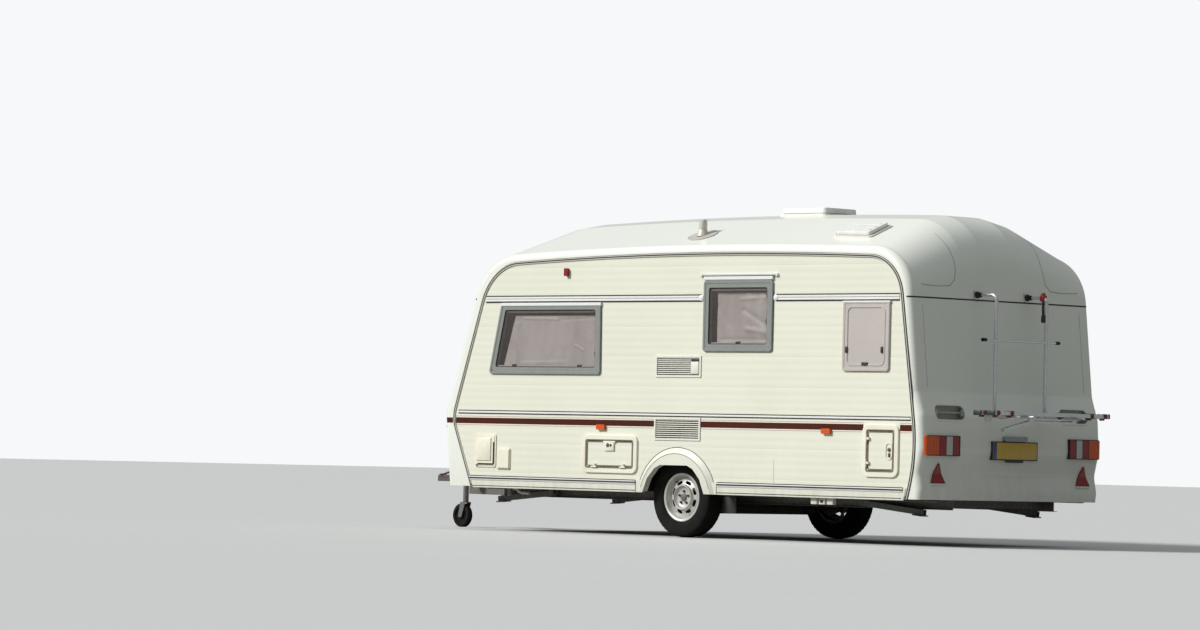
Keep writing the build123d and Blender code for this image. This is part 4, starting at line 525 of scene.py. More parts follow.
# %% Floor
FLOOR_REACH, PALE_FLOOR, FLOOR_BOUNCE = 120, (0.62, 0.62, 0.60), (0.24, 0.245, 0.22, 1)
floor_mesh = bpy.data.meshes.new("floor")
floor_corners = [(FLOOR_REACH * x, FLOOR_REACH * y, 0) for x, y in ((-1, -1), (1, -1), (1, 1), (-1, 1))]
floor_mesh.from_pydata(floor_corners, [], [(0, 1, 2, 3)])
floor = bpy.data.objects.new("floor", floor_mesh)
bpy.context.scene.collection.objects.link(floor)
floor_mesh.materials.append(surface("pale_floor", PALE_FLOOR, 0.9, cloudy=0.02, cloud_scale=0.4))
floor_tree = floor_mesh.materials[0].node_tree
floor_shader = next(n for n in floor_tree.nodes if n.type == "BSDF_PRINCIPLED")
pale = floor_shader.inputs["Base Color"].links[0].from_socket
ray = add_node(floor_tree, "ShaderNodeLightPath").outputs
plain_view = maths(floor_tree, "MAXIMUM", ray["Is Camera Ray"], ray["Is Glossy Ray"])
plain_view = maths(floor_tree, "MAXIMUM", plain_view, ray["Is Transmission Ray"])
floor_tree.links.new(mix_colour(floor_tree, plain_view, FLOOR_BOUNCE, pale), floor_shader.inputs["Base Color"])
print("floor reaches", FLOOR_REACH, "m each way")

# %% [markdown]
# Trim is made of a few simple forms. Every form comes as points and faces, and a piece is made of a list of
# them, so that forms of one material that lie close together become one piece. Places are given from the
# axle, like the camera, so a helper adds the axle's place.

# %% Pieces of trim
CARAVAN = "caravan_body"
WALL_Y = 1.070
LEFT, RIGHT = Vector((0, -1, 0)), Vector((0, 1, 0))
FRONT, REAR, UP = Vector((-1, 0, 0)), Vector((1, 0, 0)), Vector((0, 0, 1))
SIDES = {-1: LEFT, 1: RIGHT}


def at(x, y, z):
    """A point given in metres from the axle, the middle and the ground."""
    return Vector((x + AXLE_X, y, z))


def piece(name, parts, material, body=CARAVAN, smooth=True):
    """A finished mesh object, made of lists of (points, faces), that rides on a body of the frame."""
    points, faces = [], []
    for some_points, some_faces in parts:
        faces += [tuple(i + len(points) for i in face) for face in some_faces]
        points += [tuple(p) for p in some_points]
    mesh = bpy.data.meshes.new(name)
    mesh.from_pydata(points, [], faces)
    mesh.validate()
    work = bmesh.new()
    work.from_mesh(mesh)
    bmesh.ops.recalc_face_normals(work, faces=work.faces)
    work.to_mesh(mesh)
    work.free()
    if smooth:
        mesh.shade_smooth()
        mesh.set_sharp_from_angle(angle=SHARP_ANGLE)
    mesh.materials.append(material)
    made = bpy.data.objects.new(name, mesh)
    bpy.context.scene.collection.objects.link(made)
    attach(made, body)
    print(name, "has", len(mesh.polygons), "faces")
    return made

# %% [markdown]
# Most of the trim is a small cross-section drawn along a path. The sweep needs a path, the way out from the
# wall, and a section in two measures: across the path and out from the wall.

# %% Sections drawn along a path
def skin(copies, ring, spans, edges):
    """Faces between copies of an outline of ring points, for a number of spans and of its edges."""
    return [(i * ring + j, i * ring + (j + 1) % ring,
             (i + 1) % copies * ring + (j + 1) % ring, (i + 1) % copies * ring + j)
            for i in range(spans) for j in range(edges)]


def swept(path, outward, section, closed=False):
    """A section drawn along a path. outward is a direction, or one for each point."""
    count, ring = len(path), len(section)
    points = []
    for i, p in enumerate(path):
        before = path[i - 1] if i or closed else p
        after = path[(i + 1) % count] if i < count - 1 or closed else p
        into, out = (p - before), (after - p)
        into = into.normalized() if into.length > 1e-9 else out.normalized()
        out = out.normalized() if out.length > 1e-9 else into
        along = (into + out).normalized()
        normal = (outward[i] if isinstance(outward, list) else outward)
        normal = (normal - along * normal.dot(along)).normalized()
        side = normal.cross(along)
        stretch = 1 / max(0.5, along.dot(out))
        points += [p + side * (a * stretch) + normal * b for a, b in section]
    faces = skin(count, ring, count if closed else count - 1, ring)
    if not closed:
        faces += [tuple(reversed(range(ring))), tuple(range((count - 1) * ring, count * ring))]
    return points, faces


def strip(width, proud, sunk=0.002, crown=0.35):
    """Section of a flat moulding with rounded shoulders."""
    half, shoulder, low = width / 2, min(width * 0.3, proud), proud * (1 - crown)
    top = half - shoulder * 0.5
    return [(-half, -sunk), (-half, low), (-top, proud), (top, proud), (half, low), (half, -sunk)]


def round_section(radius, steps=12):
    turns = [2 * math.pi * i / steps for i in range(steps)]
    return [(radius * math.cos(t), radius * math.sin(t)) for t in turns]


print("a strip 10 mm wide has", len(strip(0.010, 0.002)), "points in its section")

# %% [markdown]
# Catches, covers and buckles are blocks with rounded edges, and caps, grips and wheels are profiles turned
# about an axis.

# %% Blocks and turned forms
def block(centre, size, radius, segments=2):
    """A block with rounded edges."""
    work = bmesh.new()
    bmesh.ops.create_cube(work, size=1)
    bmesh.ops.scale(work, vec=size, verts=work.verts)
    bmesh.ops.bevel(work, geom=list(work.edges), offset=min(radius, min(size) * 0.45), segments=segments,
                    affect="EDGES", profile=0.5)
    points = [v.co + centre for v in work.verts]
    faces = [tuple(v.index for v in f.verts) for f in work.faces]
    work.free()
    return points, faces


def turned(centre, axis, profile, steps, closed=False):
    """A profile of (along, radius) turned about an axis: open with flat ends, or a closed outline."""
    axis = axis.normalized()
    side = axis.orthogonal().normalized()
    other = axis.cross(side)
    points = [centre + axis * a + (side * math.cos(t) + other * math.sin(t)) * r
              for t in (2 * math.pi * i / steps for i in range(steps)) for a, r in profile]
    ring = len(profile)
    faces = skin(steps, ring, steps, ring if closed else ring - 1)
    if not closed and profile[0][1] > 0:
        faces.append(tuple(i * ring for i in range(steps)))
    if not closed and profile[-1][1] > 0:
        faces.append(tuple(i * ring + ring - 1 for i in range(steps))[::-1])
    return points, faces


print("a block has", len(block(Vector(), (1, 1, 1), 0.1)[1]), "faces")

# %% [markdown]
# Seals and joints are closed strips with rounded corners, drawn in a little from the corners of a window
# or a lid.

# %% Loops with rounded corners
def rounded_loop(corners, radius, steps=6):
    """A closed outline with rounded corners, as points in a plane."""
    loop = []
    count = len(corners)
    for i, corner in enumerate(corners):
        corner = Vector(corner)
        before, after = Vector(corners[i - 1]) - corner, Vector(corners[(i + 1) % count]) - corner
        angle = before.angle(after)
        reach = radius / math.tan(angle / 2)
        start, end = corner + before.normalized() * reach, corner + after.normalized() * reach
        way = (before.normalized() + after.normalized()).normalized()
        middle = corner + way * (radius / math.sin(angle / 2))
        for k in range(steps + 1):
            t = k / steps
            loop.append(middle + ((start - middle) * (1 - t) + (end - middle) * t).normalized() * radius)
    return loop


def facing(way, wanted):
    """A direction, or its opposite, whichever faces the wanted one."""
    return -way if way.dot(wanted) < 0 else way


def inset(corners, amount):
    """A polygon drawn in by an amount on every side."""
    count, made = len(corners), []
    centre = sum((Vector(c) for c in corners), Vector((0, 0))) / count
    for i in range(count):
        a, b, c = (Vector(corners[(i + k) % count]) for k in (-1, 0, 1))
        lines = []
        for p, q in ((a, b), (b, c)):
            d = (q - p).normalized()
            lines.append((p + facing(Vector((-d.y, d.x)), centre - p) * amount, d))
        (p, d), (q, e) = lines
        t = ((q - p).x * e.y - (q - p).y * e.x) / (d.x * e.y - d.y * e.x)
        made.append(tuple(p + d * t))
    return made


def box_corners(x, z):
    return [(x[0], z[1]), (x[1], z[1]), (x[1], z[0]), (x[0], z[0])]


print("a square metre drawn in by 0.1:", inset(box_corners((0, 1), (0, 1)), 0.1))

# %% [markdown]
# Most trim lies on a side wall. Four helpers put the forms there: each takes places along the wall and up,
# and how far out from the wall's face they stand. They work on the left wall unless they are told 1.

# %% Forms on a wall
def wall_line(places, section, s=-1, out=0.0, closed=False):
    """A section drawn through places (x, z)."""
    return swept([at(x, s * (WALL_Y + out), z) for x, z in places], SIDES[s], section, closed)


def wall_ring(corners, drawn_in, radius, section, s=-1, out=0.0):
    """A closed strip round corners (x, z) that are drawn in by an amount."""
    loop = rounded_loop(inset(corners, drawn_in) if drawn_in else corners, radius)
    return wall_line(loop, section, s, out, closed=True)


def wall_block(x, z, out, size, radius, s=-1, segments=2):
    return block(at(x, s * (WALL_Y + out), z), size, radius, segments)


def wall_boss(x, z, out, profile, steps, s=-1):
    """A small turned form that points out of the wall."""
    return turned(at(x, s * (WALL_Y + out), z), SIDES[s], profile, steps)


print("wall forms ready")

# %% [markdown]
# Level strips run along both walls: a double moulding below the windows, a second one at the top of the
# windows, and a maroon stripe with two faded lines beside it. Where a vent, locker or door stands in the
# way the strip stops, so each is a list of runs between two places, for the left wall and for the right.

# %% Strips along the walls
upper_runs = {-1: [(-2.205, 0.262), (1.070, 2.360)], 1: [(-2.205, 0.615), (1.205, 2.360)]}
waist_runs = {-1: [(-2.505, 2.500)], 1: [(-2.505, 0.615), (1.205, 2.500)]}
stripe_runs = {-1: [(-2.535, -0.228), (0.285, 2.017), (2.393, 2.520)], 1: [(-2.535, 0.615), (1.205, 2.520)]}
strip_rows = [
    # name, height, width, proud, finish, runs
    ("upper_band", 1.907, 0.052, 0.0050, white_insert, upper_runs),
    # The upper insert is a thin line of painted shade along the middle of the band.
    ("upper_insert", 1.909, 0.005, 0.0056, painted_gap_shade, upper_runs),
    ("upper_edge_high", 1.931, 0.010, 0.0062, seal_rubber, upper_runs),
    ("upper_edge_low", 1.884, 0.012, 0.0062, seal_rubber, upper_runs),
    ("waist_band", 0.976, 0.026, 0.0050, white_insert, waist_runs),
    ("waist_edge_high", 0.9865, 0.0085, 0.0060, seal_rubber, waist_runs),
    ("waist_edge_low", 0.9645, 0.0090, 0.0060, seal_rubber, waist_runs),
    ("stripe", 0.903, 0.048, 0.0009, maroon, stripe_runs),
    ("stripe_line_high", 0.9385, 0.005, 0.0008, pink_line, stripe_runs),
    ("stripe_line_low", 0.868, 0.005, 0.0008, pink_line, stripe_runs),
]
for name, z, width, proud, finish, runs in strip_rows:
    parts = [wall_line([(a, z), (b, z)], strip(width, proud), s) for s in SIDES for a, b in runs[s]]
    piece(name, parts, finish)
print("strips:", len(strip_rows))

# %% [markdown]
# The skirt has its own double moulding along its top edge and a thin one near the foot. Thin dark joints
# show where the wheel arch meets it, and one fine joint crosses the lower skin of the left wall.

# %% Skirt mouldings
SKIRT_OUT = 0.010
ARCH_MID, ARCH_REACH = 0.033, 0.452
arch_front, arch_rear = ARCH_MID - ARCH_REACH, ARCH_MID + ARCH_REACH
skirt_rows = [
    # height, width, proud, finish, from, to
    (0.447, 0.006, 0.004, seal_rubber, -2.345, 2.445),
    (0.4385, 0.009, 0.006, white_insert, -2.345, 2.445),
    (0.4285, 0.008, 0.004, seal_rubber, -2.345, 2.445),
    (0.417, 0.010, 0.005, bright_trim, -2.338, 2.440),
    (0.366, 0.005, 0.003, seal_rubber, -2.315, 2.430),
]
for number, (z, width, proud, finish, low, high) in enumerate(skirt_rows):
    parts = [wall_line([(a, z), (b, z)], strip(width, proud), s, SKIRT_OUT)
             for s in SIDES for a, b in ((low, arch_front), (arch_rear, high))]
    piece(f"skirt_moulding_{number}", parts, finish)
joints = [wall_line([(x, 0.353), (x, 0.443)], strip(0.004, 0.0025), s, SKIRT_OUT)
          for s in SIDES for x in (arch_front + 0.004, arch_rear - 0.004)]
joints.append(wall_line([(1.085, 0.452), (1.085, 0.640)], strip(0.002, 0.0006)))
piece("skirt_joints", joints, seal_rubber)

# %% [markdown]
# The awning rail already follows the whole side. Its dark groove is drawn along the rail's own outline,
# which is read from the frame's mesh: a plane through the rail cuts it in one closed chain, and the part of
# the chain that rises highest is the outer edge.

# %% Groove of the awning rail
def chains(edges):
    """Orders loose edges, given as pairs of points, into chains of points."""
    links, spot = {}, {}
    for pair in edges:
        keys = [tuple(round(c, 5) for c in p) for p in pair]
        spot.update(zip(keys, pair))
        links.setdefault(keys[0], set()).add(keys[1])
        links.setdefault(keys[1], set()).add(keys[0])
    found, left = [], set(links)
    while left:
        here = min([k for k in left if len(links[k]) == 1] or left)
        chain = []
        while here:
            left.discard(here)
            chain.append(spot[here].copy())
            here = min((k for k in links[here] if k in left), default=None)
        found.append(chain)
    return found


def cut_chains(node, point, normal):
    """Chains of points where a plane cuts a solid of the frame."""
    work = bmesh.new()
    work.from_mesh(nodes[node].data)
    bmesh.ops.remove_doubles(work, verts=work.verts, dist=1e-5)
    cut = bmesh.ops.bisect_plane(work, geom=work.verts[:] + work.edges[:] + work.faces[:], plane_co=point,
                                 plane_no=normal)["geom_cut"]
    edges = [tuple(v.co.copy() for v in e.verts) for e in cut if isinstance(e, bmesh.types.BMEdge)]
    work.free()
    return chains(edges)


def course(line, i):
    """The direction of a line of points at one of them."""
    return (line[min(i + 1, len(line) - 1)] - line[max(i - 1, 0)]).normalized()


RAIL_MIDDLE, RAIL_OUT = 0.011, 0.005
FRONT_FOOT_X, REAR_FOOT_X, FOOT_Z, SIDE_MIDDLE_Z = -2.340, 2.483, 0.36, 1.3


def nearest_to_foot(loop, x):
    """The number of the loop's point that is nearest to one foot of the rail."""
    foot = at(x, -WALL_Y - RAIL_OUT, FOOT_Z)
    return min(range(len(loop)), key=lambda i: (loop[i] - foot).length)


loop = max(cut_chains("awning_rails", at(0, -WALL_Y - RAIL_OUT, 0), RIGHT), key=len)
front_foot = nearest_to_foot(loop, FRONT_FOOT_X)
loop = loop[front_foot:] + loop[:front_foot]
rear_foot = nearest_to_foot(loop, REAR_FOOT_X)
halves = [loop[:rear_foot + 1], loop[rear_foot:] + loop[:1]]
rail_line = max(halves, key=lambda half: max(p.z for p in half))
side_middle = at(0, 0, SIDE_MIDDLE_Z)
groove = [p + facing(RIGHT.cross(course(rail_line, i)), side_middle - p) * RAIL_MIDDLE
          for i, p in enumerate(rail_line)]
parts = []
for s in SIDES:
    for line, out, section in ((groove, 0.010, strip(0.009, 0.0012)),
                               (rail_line, 0.0025, strip(0.008, 0.002, sunk=0.006))):
        parts.append(swept([Vector((p.x, s * (WALL_Y + out), p.z)) for p in line], SIDES[s], section))
piece("rail_groove", parts, seal_rubber)
print("rail points:", len(groove))

# %% [markdown]
# A dark joint runs round the tail and the nose where the roof moulding sits on the lower ones. The plane
# cut gives the true outline of the body at that height. Only its outer edge near each end is kept.

# %% Roof joint
JOINT_Z, END_FROM_AXLE = 1.9095, 2.0
END_DEPTH, CORNER_DEPTH, CORNER_WIDTH = 0.020, 0.075, 0.062


def outer_chain(sign):
    """The outer outline of the roof moulding at the joint, at the rear for 1 and at the front for -1."""
    edges = []
    for chain in cut_chains("roof_shell", Vector((0, 0, JOINT_Z)), UP):
        edges += zip(chain, chain[1:] + chain[:1])
    reach = max(p.x * sign for e in edges for p in e)
    kept = []
    for a, b in edges:
        middle = (a + b) / 2
        if abs(middle.x - AXLE_X) < END_FROM_AXLE:
            continue
        near_corner = abs(middle.y) > WALL_Y - CORNER_WIDTH and middle.x * sign > reach - CORNER_DEPTH
        if middle.x * sign > reach - END_DEPTH or near_corner:
            kept.append((a, b))
    return max(chains(kept), key=lambda c: max(p.y for p in c) - min(p.y for p in c))


parts = []
for sign in (1, -1):
    line = [p for p in outer_chain(sign) if abs(p.y) < WALL_Y - 0.002]
    ways = [facing(course(line, i).cross(UP), p - at(0, 0, p.z)) for i, p in enumerate(line)]
    parts.append(swept(line, ways, strip(0.011, 0.0022, sunk=0.001)))
    print("joint", "rear" if sign > 0 else "front", len(line))
piece("roof_joint_and_shade", parts, seal_rubber)

# %% [markdown]
# Windows are caravan acrylics in rubber-edged frames. Each gets a black seal round its pane, the square lip
# of its frame, small catches inside its lower edge, and a white band on top, as the photograph shows. The
# kitchen window also has a drip rail with round ends above it.

# %% Window seals, bands and catches
FRAME_WIDTH, PANE_OUT = 0.058, 0.008
LIP_WIDTH, LIP_RADIUS, LIP_PROUD = 0.026, 0.015, 0.0175
BAND_PROUD = 0.0205
window_rows = {
    "dinette": [(-2.010, 1.877), (-0.855, 1.877), (-0.846, 1.290), (-2.145, 1.290)],
    "kitchen": [(0.295, 2.046), (1.045, 2.046), (1.045, 1.481), (0.295, 1.481)],
    "bathroom": [(1.791, 1.879), (2.274, 1.879), (2.274, 1.334), (1.791, 1.334)],
    "bed": [(1.480, 1.877), (2.180, 1.877), (2.180, 1.320), (1.480, 1.320)],
}
# The white band above a window: its width. The kitchen's is shorter than its window and stands alone.
band_widths = {"dinette": 0.029, "bed": 0.029, "bathroom": 0.016}
head_drops = {"dinette": 0.014, "bed": 0.014, "kitchen": 0.016}
glazed = [("dinette", -1), ("kitchen", -1), ("dinette", 1), ("bed", 1)]


def frame_lip(name, s):
    return wall_ring(window_rows[name], LIP_WIDTH / 2, LIP_RADIUS, strip(LIP_WIDTH, LIP_PROUD, crown=0.25), s)


seals = [wall_ring(window_rows[name], FRAME_WIDTH + 0.001, 0.022, strip(0.009, 0.0035), s, 0.0075)
         for name, s in glazed]
piece("window_seals", seals, seal_rubber)
piece("window_frame_lips", [frame_lip(name, s) for name, s in glazed], grey_frame)
piece("bathroom_frame_lip", [frame_lip("bathroom", -1)], blank_pane)
parts = []
for name, s in glazed + [("bathroom", -1)]:
    if name in band_widths:
        (x0, z), (x1, _) = window_rows[name][:2]
        width = band_widths[name]
        ends = [(x0 - 0.002, z - width / 2), (x1 + 0.004, z - width / 2)]
        parts.append(wall_line(ends, strip(width, BAND_PROUD), s))
parts.append(wall_line([(0.297, 2.062), (1.043, 2.062)], strip(0.030, BAND_PROUD)))
piece("window_top_bands", parts, white_insert)
piece("drip_rail", [wall_line([(0.268, 2.088), (1.078, 2.088)], strip(0.014, 0.019))], bright_trim)
piece("drip_rail_shade", [wall_line([(0.275, 2.0785), (1.071, 2.0785)], strip(0.005, 0.014))], seal_rubber)
small_cap = [(0, 0.016), (0.014, 0.016), (0.019, 0.011), (0.020, 0)]
large_cap = [(0, 0.024), (0.008, 0.024), (0.012, 0.017), (0.013, 0)]
parts = [wall_boss(x, 2.086, -0.001, small_cap, 24) for x in (0.266, 1.080)]
parts += [wall_boss(x, 1.907, -0.001, large_cap, 28) for x in (0.262, 1.070)]
piece("moulding_caps", parts, white_insert)

heads, feet = [], []
for name, s in glazed:
    (x0, z1), (x1, _), (x2, z0), (x3, _) = window_rows[name]
    high, low = z1 - FRAME_WIDTH - head_drops[name], z0 + FRAME_WIDTH + 0.010
    heads.append(wall_line([(x0 + FRAME_WIDTH - 0.012, high), (x1 - FRAME_WIDTH + 0.004, high)],
                           strip(0.022, 0.012), s, -0.012))
    feet.append(wall_line([(x3 + FRAME_WIDTH + 0.020, low), (x2 - FRAME_WIDTH, low)],
                          strip(0.012, 0.010), s, -0.014))
piece("blind_head_bars", heads, grey_frame)
piece("blind_foot_bars", feet, blind_cloth)

catch_rows = {
    # by wall: x, z, lying along the sill
    -1: [(-1.86, 1.362, True), (-1.10, 1.362, True), (-0.918, 1.46, False), (-0.925, 1.79, False),
         (-1.995, 1.72, False), (0.665, 1.553, True), (0.973, 1.72, False), (0.973, 1.93, False),
         (0.367, 1.70, False)],
    1: [(-1.86, 1.362, True), (-1.10, 1.362, True), (-0.918, 1.60, False), (1.62, 1.39, True),
        (2.04, 1.39, True)],
}
catches = []
for s, rows in catch_rows.items():
    for x, z, level in rows:
        size = (0.052, 0.014, 0.020) if level else (0.020, 0.014, 0.052)
        catches.append(wall_block(x, z, PANE_OUT - 0.014, size, 0.005, s))
        catches.append(wall_block(x, z + 0.004, PANE_OUT - 0.008, (0.026, 0.010, 0.012), 0.004, s))
piece("window_catches", catches, black_plastic)

# %% [markdown]
# The bathroom window is one opaque moulding: a raised border inside its frame, and three dark catches on
# its face.

# %% Bathroom window details
border = wall_ring(window_rows["bathroom"], 0.048, 0.045, strip(0.014, 0.006), out=0.012)
piece("bathroom_border", [border], blank_pane)
parts = [wall_block(2.030, 1.392, 0.018, (0.060, 0.016, 0.026), 0.005)]
parts += [wall_block(x, 1.500, 0.018, (0.022, 0.014, 0.050), 0.005) for x in (1.838, 2.205)]
piece("bathroom_catches", parts, black_plastic)

# %% [markdown]
# The wheel arches are moulded with a bead round the outside and a second one where the flare turns flat.
# Thin dark lines lie along both, so they are drawn as arcs a little proud of the surface.

# %% Arch lines
ARCH_CENTRE_Z, ARC_STEPS = 0.271, 48
arc_rows = [
    # radius, out from the wall, from and to in degrees, section
    (0.4455, 0.0, 23.0, 157.0, strip(0.005, 0.0022)),
    (0.3960, 0.026, 18.0, 162.0, strip(0.0035, 0.0012)),
]
parts = []
for s in SIDES:
    for radius, out, low, high, section in arc_rows:
        turns = [math.radians(low + (high - low) * i / ARC_STEPS) for i in range(ARC_STEPS + 1)]
        places = [(ARCH_MID + radius * math.cos(t), ARCH_CENTRE_Z + radius * math.sin(t)) for t in turns]
        parts.append(wall_line(places, section, s, out))
piece("arch_lines", parts, seal_rubber)

# %% [markdown]
# A locker door is a ribbed panel in a smooth frame, with a dark joint between them that is painted brown
# as the shade in the gap. Half of the joint lies on the frame, and the other half rides on the door, so
# that it opens with it.

# %% Locker joints and latches
LOCKER_FRAME, LOCKER_PROUD, LID_PROUD = 0.050, 0.016, 0.008
locker_rows = {"mid_locker": box_corners((-1.031, -0.405), (0.496, 0.809)),
               "cassette_locker": box_corners((2.019, 2.391), (0.521, 0.929))}
fixed = []
for body, corners in locker_rows.items():
    fixed.append(wall_ring(corners, LOCKER_FRAME - 0.005, 0.016, strip(0.009, 0.0014), out=LOCKER_PROUD))
    moving = wall_ring(corners, LOCKER_FRAME + 0.0105, 0.012, strip(0.009, 0.0014), out=LID_PROUD)
    piece(body + "_joint_and_shade", [moving], painted_gap_shade, body=body)
piece("locker_frame_joints_and_shade", fixed, painted_gap_shade)

tab = [wall_block(-0.716, 0.715, 0.014, (0.108, 0.016, 0.078), 0.014),
       wall_block(-0.716, 0.749, 0.015, (0.138, 0.014, 0.016), 0.005)]
piece("mid_locker_latch", tab, aged_cream, body="mid_locker")
keyholes = [wall_boss(-0.729, 0.722, 0.021, [(0, 0.018), (0.0035, 0.017), (0.004, 0)], 20),
            wall_boss(-0.696, 0.722, 0.021, [(0, 0.013), (0.0030, 0.012), (0.0035, 0)], 20)]
piece("mid_locker_keyhole", keyholes, dark_steel, body="mid_locker")
rim = wall_ring(box_corners((2.262, 2.325), (0.660, 0.785)), 0, 0.030, strip(0.009, 0.006), out=LID_PROUD)
piece("cassette_lock_rim", [rim], aged_cream, body="cassette_locker")
lock = [wall_boss(2.296, 0.735, LID_PROUD, [(0, 0.015), (0.008, 0.014), (0.010, 0.009), (0.010, 0)], 24),
        wall_block(2.298, 0.694, LID_PROUD + 0.004, (0.018, 0.010, 0.034), 0.004)]
piece("cassette_lock", lock, dark_steel, body="cassette_locker")

# %% [markdown]
# The two service flaps by the nose cover a water inlet and a mains socket. The bigger one has a raised
# inner flap and a small round lock. The shadow in the gap at the right and foot of its inner flap, and
# along the right and foot of the smaller flap, is painted as dark strips.

# %% Service flap details
flap_gap_shadows = [wall_line([(-2.083, 0.762), (-2.083, 0.560), (-2.268, 0.560)], strip(0.016, 0.0014), out=0.008),
             wall_line([(-1.879, 0.672), (-1.879, 0.509), (-2.018, 0.509)], strip(0.008, 0.0085), out=0.0005)]
piece("flap_gap_shadows", flap_gap_shadows, painted_gap_shade)
piece("flap_lid", [wall_block(-2.180, 0.668, 0.015, (0.172, 0.014, 0.190), 0.006)], aged_cream)
flap_lock = wall_boss(-2.262, 0.537, 0.012, [(0, 0.009), (0.003, 0.009), (0.004, 0.006), (0.004, 0)], 20)
piece("flap_lock", [flap_lock], dark_steel)

# %% [markdown]
# The upper refrigerator vent has a flue outlet at its right end: a pale blanking block with a dark slot
# above it.

# %% Vent outlet
piece("vent_outlet", [wall_block(0.212, 1.352, 0.004, (0.082, 0.014, 0.098), 0.004)], white_plastic)
piece("vent_outlet_slot", [wall_block(0.212, 1.412, 0.0035, (0.082, 0.012, 0.020), 0.003)], black_plastic)

# %% [markdown]
# The number plate is left blank: an ochre sheet with a plain blue band, under its small lamp. The tail
# lamps sit in a black gasket, drawn round each cluster on the bulge of the tail.

# %% Plate and lamp gaskets
TAIL_X = 2.630
PLATE_Z, PLATE_HEIGHT, PLATE_HALF, BAND_HALF = 0.748, 0.128, 0.263, 0.022
LAMP_WIDTH = 0.388
plate_rows = [
    # name, y, z, out from the tail, size, rounding, finish
    ("number_plate", 0.0, PLATE_Z, 0.0115, (0.003, 2 * PLATE_HALF, PLATE_HEIGHT), 0.0012, ochre_plate),
    ("plate_band", BAND_HALF - PLATE_HALF, PLATE_Z, 0.0134, (0.0015, 0.042, 0.126), 0.0005, blue_band),
    ("plate_lamp_cover", 0.0, 0.843, 0.010, (0.030, 0.270, 0.034), 0.006, lamp_grey),
    ("plate_lamp_lens", 0.0, 0.8265, 0.014, (0.016, 0.230, 0.008), 0.003, clear_lens),
    ("plate_tab", 0.0, 0.668, 0.004, (0.012, 0.210, 0.020), 0.005, black_plastic),
]
for name, y, z, out, size, radius, finish in plate_rows:
    piece(name, [block(at(TAIL_X + out, y, z), size, radius)], finish)
lamp_edges = [((0.655, 0.850), (1.014, 0.850)), ((0.655, 0.701), (1.014, 0.701)),
              ((0.657, 0.852), (0.657, 0.699))]


def tail_line(places, s, out, section):
    """A section drawn through places (y, z) behind the tail, on the left half for -1."""
    return swept([at(TAIL_X + out, s * y, z) for y, z in places], REAR, section)


gaskets, ridges = [], []
for s in SIDES:
    gaskets += [tail_line(ends, s, 0.004, strip(0.007, 0.012, sunk=0.012)) for ends in lamp_edges]
    for share in (0.4, 0.6, 0.8):
        y = 1.048 - share * LAMP_WIDTH
        gaskets.append(tail_line([(y, 0.704), (y, 0.847)], s, 0.010, strip(0.0045, 0.0055)))
    for share in (0.10, 0.20, 0.30):
        y = 1.040 - share * LAMP_WIDTH
        ridges.append(tail_line([(y, 0.712), (y, 0.839)], s, 0.0135, strip(0.006, 0.0022)))
piece("lamp_gaskets", gaskets, seal_rubber)
piece("lamp_ridges", ridges, amber_lens)

# %% [markdown]
# Details on the tail sit on a double-curved moulding. A tree of the frame's own faces answers where a level
# line from behind meets the surface, so that every detail follows the bulge. The reflectors are red
# triangles a little larger than their solid seats, with a pale ledge under each. Thin strips of painted
# shade draw the shallow crease round the raised corner of the roof moulding, and a faint panel edge down
# each side of the tail.

# %% Details that follow the tail
FAR_OFF = 4.0


def face_tree(name):
    """A tree of a solid's faces, which answers where a level line meets them."""
    mesh = nodes[name].data
    return BVHTree.FromPolygons([v.co for v in mesh.vertices], [tuple(p.vertices) for p in mesh.polygons])


tail_trees = [face_tree(name) for name in ("rear_panel", "roof_shell")]


def tail_point(y, z, out=0.0):
    """The point of the tail's surface at a place across and a height."""
    reached = [tree.ray_cast(at(FAR_OFF, y, z), FRONT)[0] for tree in tail_trees]
    return max((p for p in reached if p is not None), key=lambda p: p.x) + REAR * out


TRIANGLE_Y, TRIANGLE_HALF, TRIANGLE_LOW, TRIANGLE_HIGH = 0.865, 0.078, 0.488, 0.640
TRIANGLE_ROWS, TRIANGLE_EDGE = 12, 0.0025
parts, ledges = [], []
for s in SIDES:
    middle, points, faces = s * TRIANGLE_Y, [], []
    for out in (0.002, 0.0155):
        for k in range(TRIANGLE_ROWS + 1):
            z = TRIANGLE_LOW + (TRIANGLE_HIGH - TRIANGLE_LOW) * k / TRIANGLE_ROWS
            half = TRIANGLE_HALF * (1 - k / TRIANGLE_ROWS) + TRIANGLE_EDGE
            points += [tail_point(middle - half, z, out), tail_point(middle + half, z, out)]
    back = 2 * (TRIANGLE_ROWS + 1)
    for a in range(0, 2 * TRIANGLE_ROWS, 2):
        faces += [(a, a + 1, a + 3, a + 2), (back + a, back + a + 2, back + a + 3, back + a + 1),
                  (a, a + 2, back + a + 2, back + a), (a + 1, back + a + 1, back + a + 3, a + 3)]
    faces += [(0, back, back + 1, 1), (back - 2, back - 1, 2 * back - 1, 2 * back - 2)]
    parts.append((points, faces))
    ledge = [tail_point(middle + y, 0.480, 0.001) for y in (-0.085, 0.085)]
    ledges.append(swept(ledge, REAR, strip(0.014, 0.012, sunk=0.004)))
piece("reflector_triangles", parts, red_lens)
piece("reflector_ledges", ledges, white_gel)

